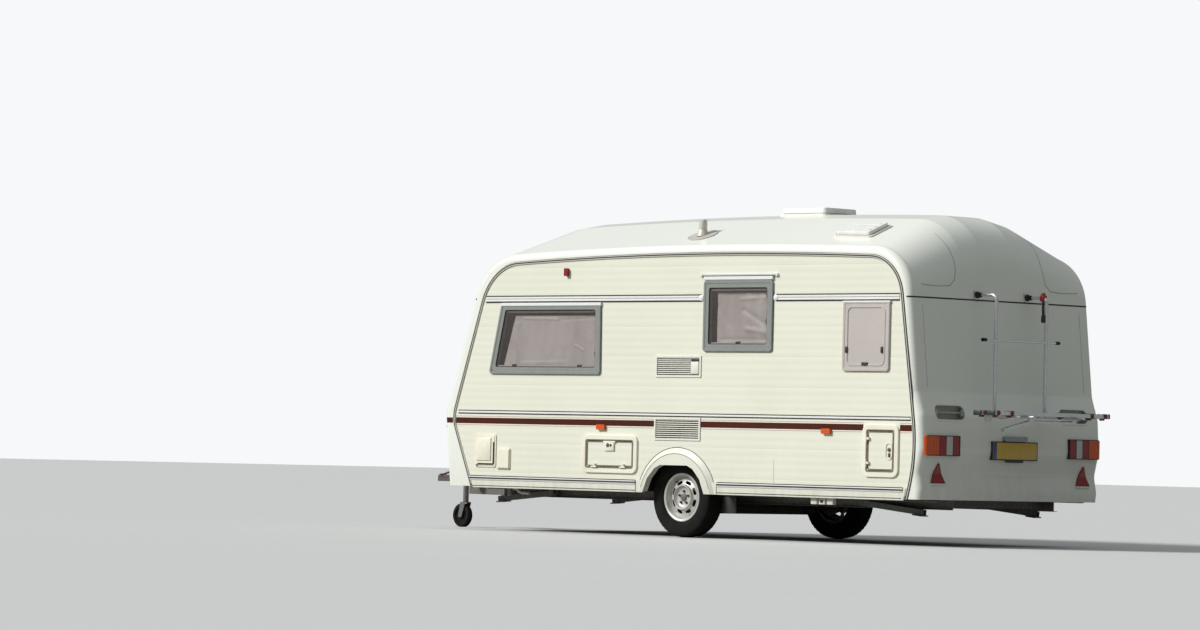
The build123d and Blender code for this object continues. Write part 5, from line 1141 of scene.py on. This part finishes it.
CREASE_STEPS = 6
crease_rows = [(0.546, 2.420), (0.543, 2.375), (0.531, 2.314), (0.520, 2.217), (0.527, 2.130), (0.545, 2.060),
               (0.599, 2.012), (0.726, 2.003), (0.860, 2.006), (0.935, 2.011)]
crease = [(y + (next_y - y) * k / CREASE_STEPS, z + (next_z - z) * k / CREASE_STEPS)
          for (y, z), (next_y, next_z) in zip(crease_rows, crease_rows[1:]) for k in range(CREASE_STEPS)]
parts = []
for s in SIDES:
    path = [tail_point(s * y, z, 0.0004) for y, z in crease + crease_rows[-1:]]
    parts.append(swept(path, Vector((1, 0, 0.35)), strip(0.007, 0.0012)))
    edge = [tail_point(s * 0.936, z) for z in (1.86, 1.70, 1.50, 1.35, 1.22)]
    parts.append(swept(edge, REAR, strip(0.005, 0.0010)))
piece("tail_crease_shade", parts, crease_shade)

HANDLE_Y, HANDLE_HALF = 0.740, 0.176
parts, ends = [], []
for s in SIDES:
    middle = s * HANDLE_Y
    handle = rounded_loop(box_corners((middle - HANDLE_HALF, middle + HANDLE_HALF), (0.970, 1.090)), 0.050)
    parts.append(swept([tail_point(*p, 0.0005) for p in handle], REAR, strip(0.012, 0.0045), closed=True))
    ends += [block(at(2.592, middle + y, 1.030), (0.030, 0.024, 0.050), 0.006) for y in (-0.150, 0.150)]
piece("handle_rims", parts, white_gel)
piece("handle_ends", ends, tray_grey_and_shade)

# %% [markdown]
# Behind each pane hangs a closed blind. It is a real sheet: an even grid of points, bent into soft folds
# that fall down the cloth, a little deeper where it is bunched at one side. Folds are made by arithmetic,
# because a simulation would not show at this size. The flat size given is the cut: the opening less the
# margin at each edge, with no allowance for the folds.

# %% Blinds
BLIND_Y = WALL_Y - 0.034
BLIND_COLUMNS, BLIND_ROWS = 110, 60


def ridge(u, v, u0, v0, u1, v1, wide):
    """How high a soft ridge between two places stands at a place, from 0 to 1."""
    run = (u1 - u0) ** 2 + (v1 - v0) ** 2
    t = min(1, max(0, ((u - u0) * (u1 - u0) + (v - v0) * (v1 - v0)) / run))
    away = math.hypot(u - u0 - t * (u1 - u0), v - v0 - t * (v1 - v0))
    return math.exp(-(away / wide) ** 2)


def folded(name, corners, s, shrink, wave, folds, bunch, creases=()):
    """A hanging cloth inside a window, drawn in from the frame by shrink at each edge. Creases are ridges
    from one place to another, in shares of the width and height, with a width and a depth in metres."""
    (x0, z1), (x1, _), (x2, z0), (x3, _) = corners
    points = []
    for j in range(BLIND_ROWS + 1):
        v = j / BLIND_ROWS
        low = (x3 + (x0 - x3) * v) + shrink[0]
        high = (x2 + (x1 - x2) * v) - shrink[1]
        z = z0 + shrink[2] + (z1 - z0 - shrink[2] - shrink[3]) * v
        for i in range(BLIND_COLUMNS + 1):
            u = i / BLIND_COLUMNS
            sway = 0.7 * math.sin(3 * v + 4 * u)
            depth = wave * (0.35 + bunch * u) * math.sin(2 * math.pi * folds * u + sway)
            depth += wave * 0.4 * math.sin(2 * math.pi * (folds * 0.43) * u + 2.2 * v)
            depth += sum(deep * ridge(u, v, *line, wide) for *line, wide, deep in creases)
            points.append(at(low + (high - low) * u, s * (BLIND_Y + depth), z))
    faces = skin(BLIND_ROWS + 1, BLIND_COLUMNS + 1, BLIND_ROWS, BLIND_COLUMNS)
    made = piece(name, [(points, faces)], blind_cloth)
    return made


hung = [
    folded("dinette_blind_left", window_rows["dinette"], -1, (0.125, 0.050, 0.050, 0.105), 0.0022, 9, 0.3, [
        (0.74, 0.44, 0.82, 0.34, 0.014, 0.007), (0.12, 0.95, 0.50, 0.93, 0.020, 0.005),
        (0.05, 0.85, 0.12, 0.10, 0.030, 0.006), (0.55, 0.92, 0.95, 0.96, 0.025, -0.004),
        (0.20, 0.10, 0.60, 0.12, 0.030, 0.004)]),
    folded("kitchen_blind", window_rows["kitchen"], -1, (0.115, 0.055, 0.055, 0.095), 0.0035, 4, 0.9, [
        (0.45, 0.87, 0.95, 0.90, 0.035, 0.008), (0.86, 0.80, 1.00, 0.50, 0.075, 0.013),
        (0.50, 0.66, 0.93, 0.36, 0.050, -0.010), (0.55, 0.30, 0.98, 0.22, 0.050, 0.010),
        (0.10, 0.10, 0.95, 0.10, 0.040, -0.006), (0.02, 0.75, 0.20, 0.40, 0.060, -0.006)]),
    folded("dinette_blind_right", window_rows["dinette"], 1, (0.05, 0.045, 0.045, 0.05), 0.0022, 9, 0.5),
    folded("bed_blind", window_rows["bed"], 1, (0.045, 0.045, 0.045, 0.05), 0.003, 6, 0.6),
]
print("blinds:", [h.name for h in hung])

# %% [markdown]
# The front window's blind lies in the raked plane of the nose, so its frame of directions comes from the
# angle of that slope, and its origin from a point at the slope's foot.

# %% Front blind and seal
RAKE, FRONT_MID_Z = math.radians(18.6), 1.590
RAKE_FOOT_X, RAKE_FOOT_Z = -2.701, 0.924
FRONT_HALF_Y, FRONT_HALF_Z = 0.780, 0.280
FRONT_ROWS, FRONT_COLUMNS = 24, 90
front_out = Vector((-math.cos(RAKE), 0, math.sin(RAKE)))
front_up = Vector((math.sin(RAKE), 0, math.cos(RAKE)))
front_origin = at(RAKE_FOOT_X + math.tan(RAKE) * (FRONT_MID_Z - RAKE_FOOT_Z), 0, FRONT_MID_Z)


def on_front(y, h, out):
    return front_origin + Vector((0, y, 0)) + front_up * h + front_out * out


front_corners = box_corners((-FRONT_HALF_Y, FRONT_HALF_Y), (-FRONT_HALF_Z, FRONT_HALF_Z))
edge = rounded_loop(inset(front_corners, FRAME_WIDTH + 0.001), 0.022)
seal = swept([on_front(y, h, 0.0075) for y, h in edge], front_out, strip(0.009, 0.0035), closed=True)
piece("front_window_seal", [seal], seal_rubber)
half_y, half_h = FRONT_HALF_Y - FRAME_WIDTH + 0.008, FRONT_HALF_Z - FRAME_WIDTH + 0.008
points = []
for j in range(FRONT_ROWS + 1):
    for i in range(FRONT_COLUMNS + 1):
        u, v = i / FRONT_COLUMNS, j / FRONT_ROWS
        wave = 0.002 * math.sin(2 * math.pi * 11 * u + 0.6 * math.sin(5 * v))
        points.append(on_front(half_y * (2 * u - 1), half_h * (2 * v - 1), -0.0345 + wave))
faces = skin(FRONT_ROWS + 1, FRONT_COLUMNS + 1, FRONT_ROWS, FRONT_COLUMNS)
front_blind = piece("front_blind", [(points, faces)], blind_cloth)
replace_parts(front_blind, "window_blinds")

# %% [markdown]
# A tyre is a turned profile with a cut tread. The tread is made in the mesh: every third step drops to the
# bottom of a cross groove on the shoulder ribs, and every sixth one on the middle ribs, while three grooves
# run all the way round. The profile is the same on both sides, so only one half of it is listed.

# %% Tyres
WHEEL_Y, TYRE_RADIUS = 0.900, 0.320
WHEELS = {"left": -1, "right": 1}
half_profile = [
    # from the bead outwards to the middle: out from the middle plane, radius
    (0.0640, 0.1812), (0.0660, 0.1945), (0.0740, 0.1995), (0.0800, 0.2100), (0.0835, 0.2140), (0.0870, 0.2300),
    (0.0915, 0.2480), (0.0905, 0.2520), (0.0915, 0.2560), (0.0890, 0.2800), (0.0835, 0.3000), (0.0790, 0.3070),
    (0.0720, 0.3140), (0.0600, 0.3168), (0.0440, 0.3183), (0.0400, 0.3120), (0.0340, 0.3120), (0.0300, 0.3190),
    (0.0060, 0.3198), (0.0030, 0.3130),
]
tyre_profile = [(-a, r) for a, r in half_profile] + half_profile[::-1]
TREAD_STEPS, TREAD_DEPTH, TREAD_FROM = 144, 0.0065, 0.3135


def tyre(side, s):
    centre = at(0, s * WHEEL_Y, TYRE_RADIUS)
    points, ring = [], len(tyre_profile)
    for i in range(TREAD_STEPS):
        t = 2 * math.pi * i / TREAD_STEPS
        for a, r in tyre_profile:
            shoulder, middle = abs(a) > 0.046, 0.007 < abs(a) < 0.029
            cut = r > TREAD_FROM and (shoulder and i % 3 == 0 or middle and i % 6 == 0)
            radius = r - TREAD_DEPTH if cut else r
            points.append(centre + Vector((radius * math.cos(t), a, radius * math.sin(t))))
    faces = skin(TREAD_STEPS, ring, TREAD_STEPS, ring)
    made = piece(f"tread_{side}", [(points, faces)], tyre_rubber, body=f"wheel_{side}_body")
    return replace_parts(made, f"tyre_{side}")


for side, s in WHEELS.items():
    tyre(side, s)
print("tyre rings of", len(tyre_profile))

# %% [markdown]
# The stripe runs on round the front corner for a hand's width, past the awning rail. The corner is curved,
# so each point of the strip is found by a level line against the nose moulding, and the strip stands along
# the surface's own normal there. A small white clip sits below it.

# %% Stripe round the front corner
STRIPE_Z, NOSE_EDGE = 0.903, 0.95
nose_tree = face_tree("front_panel")
parts = []
for s in SIDES:
    found = [nose_tree.ray_cast(at(-2.572 - 0.006 * k, s * 3, STRIPE_Z), SIDES[-s])[:2] for k in range(18)]
    found = [(p, facing(n, SIDES[s])) for p, n in found if p is not None and abs(p.y) > NOSE_EDGE]
    parts.append(swept([p for p, n in found], [n for p, n in found], strip(0.044, 0.0009)))
piece("stripe_corner", parts, maroon)


def nose_point(y, z):
    """The point of the nose's surface at a place across and a height."""
    return nose_tree.ray_cast(at(-FAR_OFF, y, z), REAR)[0]


clips = [block(nose_point(s * 1.020, 0.862) + FRONT * 0.004, (0.022, 0.034, 0.040), 0.005) for s in SIDES]
piece("corner_clips", clips, white_plastic)

# %% [markdown]
# The cycle carrier's tubes end in rubber sleeves at the wall. Each wheel channel has black end caps and
# webbing straps with a buckle, and a clamp with a red shell grips the top of a hoop. Pieces on the channels
# ride on the platform, because it folds up.

# %% Carrier fittings
HOOP_Y, HOOP_TOP, HOOP_OUT_X, CROSS_Z = 0.300, 1.950, 2.676, 1.600
CHANNEL_X, CHANNEL_LOW, CHANNEL_HIGH, CHANNEL_HALF = (2.840, 2.975), 1.020, 1.050, 0.690
PLATFORM = "cycle_platform"
channel_mid = (CHANNEL_LOW + CHANNEL_HIGH) / 2
wall_sleeve = [(0, 0.026), (0.012, 0.026), (0.016, 0.0195), (0.050, 0.0185), (0.056, 0.0145)]
cross_sleeve = [(0, 0), (0, 0.0135), (0.045, 0.0135), (0.047, 0.0115)]
sleeves = [turned(at(2.474, s * HOOP_Y, HOOP_TOP), REAR, wall_sleeve, 24) for s in SIDES]
sleeves += [turned(at(HOOP_OUT_X, s * (HOOP_Y + 0.160), CROSS_Z), SIDES[-s], cross_sleeve, 20) for s in SIDES]
piece("hoop_sleeves", sleeves, seal_rubber)
knob_profile = [(0, 0.016), (0.012, 0.018), (0.020, 0.014), (0.022, 0)]
clamp = [block(at(2.640, HOOP_Y, HOOP_TOP - 0.004), (0.050, 0.044, 0.050), 0.012, segments=3),
         turned(at(2.640, HOOP_Y, HOOP_TOP + 0.018), UP, knob_profile, 20)]
piece("hoop_clamp_red", clamp, red_clamp)
arm_path = [at(2.640, HOOP_Y, HOOP_TOP - 0.025), at(2.650, HOOP_Y - 0.012, HOOP_TOP - 0.090),
            at(2.660, HOOP_Y - 0.020, HOOP_TOP - 0.150)]
grip_profile = [(0, 0.0), (0, 0.017), (0.050, 0.018), (0.056, 0.012), (0.056, 0)]
grip = turned(at(2.661, HOOP_Y - 0.020, HOOP_TOP - 0.140), Vector((0.06, -0.1, -1)), grip_profile, 20)
piece("hoop_clamp_arm", [swept(arm_path, REAR, round_section(0.010)), grip], black_plastic)
caps = [block(at(x, s * (CHANNEL_HALF - 0.002), channel_mid), (0.078, 0.016, 0.038), 0.005)
        for x in CHANNEL_X for s in SIDES]
piece("channel_caps", caps, black_plastic, body=PLATFORM)


def strap(x, y, half=0.012):
    """A webbing band round a wheel channel: a closed loop across the channel, as a flat section."""
    corners = box_corners((x - 0.0365, x + 0.0365), (CHANNEL_LOW - 0.0015, CHANNEL_HIGH + 0.003))
    loop = rounded_loop(corners, 0.004, 3)
    ways = [Vector((p.x - x, 0, p.y - channel_mid)) for p in loop]
    section = [(-half, -0.0005), (-half, 0.0018), (half, 0.0018), (half, -0.0005)]
    return swept([at(p.x, y, p.y) for p in loop], ways, section, closed=True)


strap_places = zip(CHANNEL_X, ((0.300, 0.640), (0.480, 0.640)))
strap_rows = [(x, s * y) for x, places in strap_places for s in SIDES for y in places]
piece("wheel_straps", [strap(x, y) for x, y in strap_rows], strap_red, body=PLATFORM)
buckles = [block(at(x, y, CHANNEL_LOW - 0.010), (0.034, 0.030, 0.014), 0.004) for x, y in strap_rows]
buckles += [block(at(x + 0.040, y, 1.036), (0.010, 0.028, 0.024), 0.003) for x, y in strap_rows]
piece("strap_buckles", buckles, strap_red, body=PLATFORM)
STRUT_X = 2.9075
strut_path = [at(STRUT_X, y, z) for y, z in
              ((-0.470, 0.905), (-0.400, 0.925), (-0.180, 0.972), (-0.140, 0.976), (0.400, 0.976))]
strut_section = [(-0.017, -0.011), (-0.017, 0.007), (-0.012, 0.011), (0.012, 0.011), (0.017, 0.007),
                 (0.017, -0.011)]
strut = [swept(strut_path, UP, strut_section)]
strut += [block(at(STRUT_X, y, 0.990), (0.030, 0.050, 0.022), 0.003) for y in (-0.140, 0.370)]
piece("platform_strut", strut, carrier_metal, body=PLATFORM)

# %% [markdown]
# Each louvre slat of the two vents has a white lip along its outer edge. The lips catch the light, and the
# slats behind them are painted dark as shade, so a vent reads as fine bars.

# %% Louvre lips
VENT_FRAME, SLAT_COUNT, LIP_RISE = 0.016, 9, 0.004
vents = [((-0.226, 0.277), (1.277, 1.449)), ((-0.226, 0.283), (0.773, 0.955))]
lips = []
for (front, rear), (foot, top) in vents:
    low, high = foot + VENT_FRAME, top - VENT_FRAME
    for row in range(SLAT_COUNT):
        z = low + (high - low) * (row + 0.5) / SLAT_COUNT + LIP_RISE
        ends = [(front + VENT_FRAME, z), (rear - VENT_FRAME, z)]
        lips.append(wall_line(ends, strip(0.0078, 0.003), out=-0.001))
piece("vent_lips", lips, white_plastic)
print("louvre lips", len(lips))

# %% [markdown]
# The water inlet's flap near the nose throws a shadow along its right side and its foot, and the shadow is
# painted: a thin dark strip that follows the frame's own face, where a level line finds the face at each
# point.

# %% Painted shadow of the water inlet's flap
FLAP_X, FLAP_Z, FLAP_STEPS = (-2.250, -2.066), (0.545, 0.728), 12
flap_tree = face_tree("service_flaps")


def flap_point(x, z):
    """The point of a service flap's face, or of the wall, at a place along the side and a height."""
    found = flap_tree.ray_cast(at(x, -3, z), RIGHT)[0]
    return found if found is not None else at(x, -WALL_Y, z)


corners = [(FLAP_X[1], FLAP_Z[1]), (FLAP_X[1], FLAP_Z[0]), (FLAP_X[0], FLAP_Z[0])]
runs = [[flap_point(a[0] + (b[0] - a[0]) * k / FLAP_STEPS, a[1] + (b[1] - a[1]) * k / FLAP_STEPS)
         for k in range(FLAP_STEPS + 1)] for a, b in zip(corners, corners[1:])]
print("flap edge stands", [round(-p.y - WALL_Y, 4) for run in runs for p in run[::6]])
piece("flap_painted_shadow", [swept(run, LEFT, strip(0.014, 0.0015)) for run in runs], seal_rubber)

# %% [markdown]
# Small things hang under the floor and show below the skirt: a dark splash guard behind the wheel, pale
# drain blocks with a dark plug, a grey waste pipe and a drain elbow near the nose, and the brake rod on the
# middle line.

# %% Underfloor fittings
guards = [block(at(0.412, -0.850, 0.282), (0.148, 0.016, 0.158), 0.005),
          block(at(0.412, -0.850, 0.352), (0.148, 0.050, 0.016), 0.004)]
piece("splash_guard", guards, black_plastic)
drains = [block(at(x, -1.022, 0.336), (0.064, 0.044, 0.074), 0.006) for x in (1.492, 1.577, 1.661)]
piece("drain_blocks", drains, white_plastic)
piece("drain_plug", [block(at(1.577, -1.046, 0.324), (0.028, 0.008, 0.022), 0.003)], black_plastic)
pipe_profile = [(0, 0.024), (0.012, 0.024), (0.014, 0.019), (0.078, 0.019), (0.078, 0.015), (0.040, 0.015)]
piece("waste_pipe", [turned(at(-2.170, -0.780, 0.362), -UP, pipe_profile, 28)], lamp_grey)
elbow_path = [at(*spot) for spot in
              ((-2.000, -0.862, 0.345), (-1.975, -0.866, 0.325), (-1.925, -0.870, 0.315),
               (-1.850, -0.872, 0.312))]
elbow = [block(at(-2.010, -0.860, 0.349), (0.060, 0.036, 0.024), 0.005),
         swept(elbow_path, UP, round_section(0.013))]
piece("drain_elbow", elbow, white_plastic)
brake_rod = swept([at(-1.480, 0.0, 0.318), at(-0.250, 0.0, 0.318)], UP, round_section(0.005))
piece("brake_rod", [brake_rod], shaded_zinc)

# %% [markdown]
# A pressed steel wheel is turned from sheet: the outer lip, the well, and a disc that rises to a round bead
# before it dishes in to the nuts. Its eight slots are real openings: faces of the turned sheet are left out
# there, eleven in each middle row and nine in the outer and the inner one, so that the corners are round.
# The sheet then gets its thickness. A drum and a grease cap stand behind and in front of the disc.

# %% Pressed wheels
WHEEL_STEPS, SHEET = 144, 0.0035
SLOTS, SLOT_START, SLOT_STEPS = 8, 4, 11
disc_profile = [
    # outward from the wheel's middle plane, radius
    (0.0260, 0.1585), (0.0300, 0.1520), (0.0370, 0.1450), (0.0405, 0.1395), (0.0415, 0.1355), (0.0430, 0.1310),
    (0.0455, 0.1220), (0.0475, 0.1140), (0.0480, 0.1095), (0.0500, 0.1050), (0.0580, 0.1010), (0.0660, 0.0985),
    (0.0690, 0.0950), (0.0680, 0.0905), (0.0610, 0.0865), (0.0530, 0.0800), (0.0480, 0.0720), (0.0460, 0.0660),
    (0.0460, 0.0320), (0.0460, 0.0150),
]
# The rows of the disc that a slot opens, with the faces that stay at each of its ends.
SLOT_TRIMS = {4: 1, 5: 0, 6: 0, 7: 1}
well_profile = [
    (0.068, 0.195), (0.066, 0.181), (0.038, 0.178), (0.020, 0.162), (-0.028, 0.162), (-0.044, 0.178),
    (-0.066, 0.181), (-0.068, 0.195), (-0.073, 0.195), (-0.071, 0.176), (-0.050, 0.172), (-0.032, 0.156),
    (0.024, 0.156), (0.046, 0.172), (0.069, 0.176), (0.0735, 0.183), (0.075, 0.190), (0.074, 0.1945),
]
drum_profile = [(-0.105, 0.0), (-0.105, 0.112), (-0.055, 0.112), (-0.043, 0.060), (0.030, 0.058),
                (0.040, 0.050), (0.040, 0.0)]
cap_profile = [(0.040, 0.031), (0.050, 0.031), (0.0535, 0.026), (0.0565, 0.012), (0.0575, 0)]


def pressed_disc(centre, axis):
    """The disc with its slots, as a closed sheet."""
    points, faces = turned(centre, axis, disc_profile, WHEEL_STEPS)
    rows = len(disc_profile) - 1
    work = bmesh.new()
    made = [work.verts.new(p) for p in points]
    for number, face in enumerate(faces[:WHEEL_STEPS * rows]):
        step, row = divmod(number, rows)
        place, trim = (step - SLOT_START) % (WHEEL_STEPS // SLOTS), SLOT_TRIMS.get(row)
        if trim is None or not trim <= place < SLOT_STEPS - trim:
            work.faces.new([made[i] for i in face])
    bmesh.ops.recalc_face_normals(work, faces=work.faces)
    bmesh.ops.solidify(work, geom=work.faces[:], thickness=SHEET)
    work.verts.index_update()
    result = [v.co.copy() for v in work.verts], [tuple(v.index for v in f.verts) for f in work.faces]
    work.free()
    return result


for side, s in WHEELS.items():
    centre, axis, body = at(0, s * WHEEL_Y, TYRE_RADIUS), SIDES[s], f"wheel_{side}_body"
    parts = [pressed_disc(centre, axis), turned(centre, axis, well_profile, WHEEL_STEPS, closed=True)]
    wheel = piece(f"pressed_wheel_{side}", parts, wheel_paint, body=body)
    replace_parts(wheel, f"rim_{side}")
    piece(f"brake_drum_{side}", [turned(centre, axis, drum_profile, 64)], dark_steel, body=body)
    piece(f"grease_cap_{side}", [turned(centre, axis, cap_profile, 32)], shaded_zinc, body=body)
print("pressed wheels ready")

# %% [markdown]
# Five nuts and a valve finish each wheel.

# %% Wheel nuts and valve
NUT_CIRCLE, NUT_COUNT, NUT_START, NUT_SEAT = 0.049, 5, 0.3, 0.945
VALVE_CIRCLE, VALVE_TURN, VALVE_SEAT = 0.150, 2.2, 0.927
nut_profile = [(0, 0.0125), (0.004, 0.0125), (0.005, 0.0095), (0.014, 0.0095), (0.017, 0.006), (0.0175, 0)]
valve_profile = [(0, 0.005), (0.020, 0.0045), (0.028, 0.004), (0.038, 0.004), (0.040, 0)]
nut_turns = [2 * math.pi * i / NUT_COUNT + NUT_START for i in range(NUT_COUNT)]


def wheel_spot(radius, turn, y):
    return at(radius * math.cos(turn), y, TYRE_RADIUS + radius * math.sin(turn))


for side, s in WHEELS.items():
    body = f"wheel_{side}_body"
    nuts = [turned(wheel_spot(NUT_CIRCLE, t, s * NUT_SEAT), SIDES[s], nut_profile, 6) for t in nut_turns]
    piece(f"wheel_nuts_{side}", nuts, dark_steel, body=body, smooth=False)
    valve = turned(wheel_spot(VALVE_CIRCLE, VALVE_TURN, s * VALVE_SEAT), SIDES[s], valve_profile, 12)
    piece(f"valve_{side}", [valve], seal_rubber, body=body)

# %% [markdown]
# The entrance door on the right has a rubber seal in its frame, another round its pane, and a lock with a
# lever. The seal in the frame stays on the body, and what is on the door rides on it.

# %% Entrance door fittings
DOOR_X, DOOR_Z, DOOR_PANE_X, DOOR_PANE_Z = (0.643, 1.165), (0.485, 2.055), (0.723, 1.097), (1.408, 1.912)
LOCK_X = 1.128
door_face = face_tree("entrance_door").ray_cast(at(1.10, 3, 0.80), LEFT)[0].y - WALL_Y
print("door face stands out", round(door_face, 4))
seal = wall_ring(box_corners(DOOR_X, DOOR_Z), -0.006, 0.066, strip(0.006, 0.0012), 1, 0.010)
piece("door_seal", [seal], seal_rubber)
seal = wall_ring(box_corners(DOOR_PANE_X, DOOR_PANE_Z), 0.004, 0.040, strip(0.016, 0.004), 1, door_face)
piece("door_pane_seal", [seal], seal_rubber, body="entrance")
lever = [at(x, WALL_Y + door_face + out, z) for x, out, z in
         ((LOCK_X, 0.019, 1.105), (1.105, 0.022, 1.105), (1.025, 0.022, 1.103))]
lock = [wall_block(LOCK_X, 1.060, door_face + 0.004, (0.046, 0.012, 0.170), 0.010, 1, segments=3),
        wall_boss(LOCK_X, 1.105, door_face + 0.008, [(0, 0.016), (0.012, 0.015), (0.014, 0.0)], 24, 1),
        swept(lever, RIGHT, round_section(0.0075))]
piece("door_lock", lock, black_plastic, body="entrance")
key_boss = wall_boss(LOCK_X, 1.018, door_face + 0.009, [(0, 0.009), (0.004, 0.009), (0.005, 0)], 20, 1)
piece("door_key", [key_boss], shaded_zinc, body="entrance")
# The two grooves across the door are painted dark as their shade.
grooves = [wall_line([(0.700, z), (1.110, z)], strip(0.006, 0.0007), 1, door_face) for z in (1.330, 0.560)]
piece("door_grooves", grooves, painted_gap_shade, body="entrance")
ends = [(DOOR_X[0] + 0.012, STRIPE_Z), (DOOR_X[1] - 0.012, STRIPE_Z)]
piece("door_stripe", [wall_line(ends, strip(0.044, 0.0011), 1, door_face)], maroon, body="entrance")

# %% [markdown]
# The gas locker's lid in the nose closes on a rubber seal and has two small locks near its foot. Both
# follow the rake of the nose.

# %% Gas locker seal and locks
lid_tree = face_tree("gas_locker_lid")
edge = rounded_loop(box_corners((-0.4735, 0.4735), (0.5185, 0.8995)), 0.052)
seal = swept([nose_point(*p) for p in edge], FRONT, strip(0.008, 0.0015), closed=True)
piece("gas_locker_seal", [seal], seal_rubber)
lock_profile = [(0, 0.016), (0.006, 0.015), (0.008, 0.010), (0.008, 0)]
seats = [lid_tree.ray_cast(at(-FAR_OFF, y, 0.560), REAR)[0] + REAR * 0.001 for y in (-0.300, 0.300)]
locks = [turned(seat, Vector((-1, 0, 0.05)), lock_profile, 24) for seat in seats]
piece("gas_locker_locks", locks, black_plastic, body="gas_locker")

# %% [markdown]
# Hands need something to hold: the brake lever and the jockey wheel's crank get black grips with a rounded
# end, turned about the same lines as the solids that they cover.

# %% Grips
LEVER_LEAN, LEVER_BARE = math.radians(11), 0.198
lever_way = Vector((math.cos(LEVER_LEAN), 0, math.sin(LEVER_LEAN)))
lever_grip = [(0, 0.0125), (0, 0.0160), (0.108, 0.0165), (0.118, 0.0150), (0.1235, 0.009), (0.1235, 0)]
crank_grip = [(0, 0.0095), (0, 0.0118), (0.050, 0.0122), (0.0575, 0.008), (0.0580, 0)]
grip = turned(at(-3.300, 0.073, 0.478) + lever_way * LEVER_BARE, lever_way, lever_grip, 28)
piece("handbrake_grip", [grip], black_plastic, body="handbrake")
piece("crank_grip", [turned(at(-3.160, -0.255, 0.833), UP, crank_grip, 24)], black_plastic)
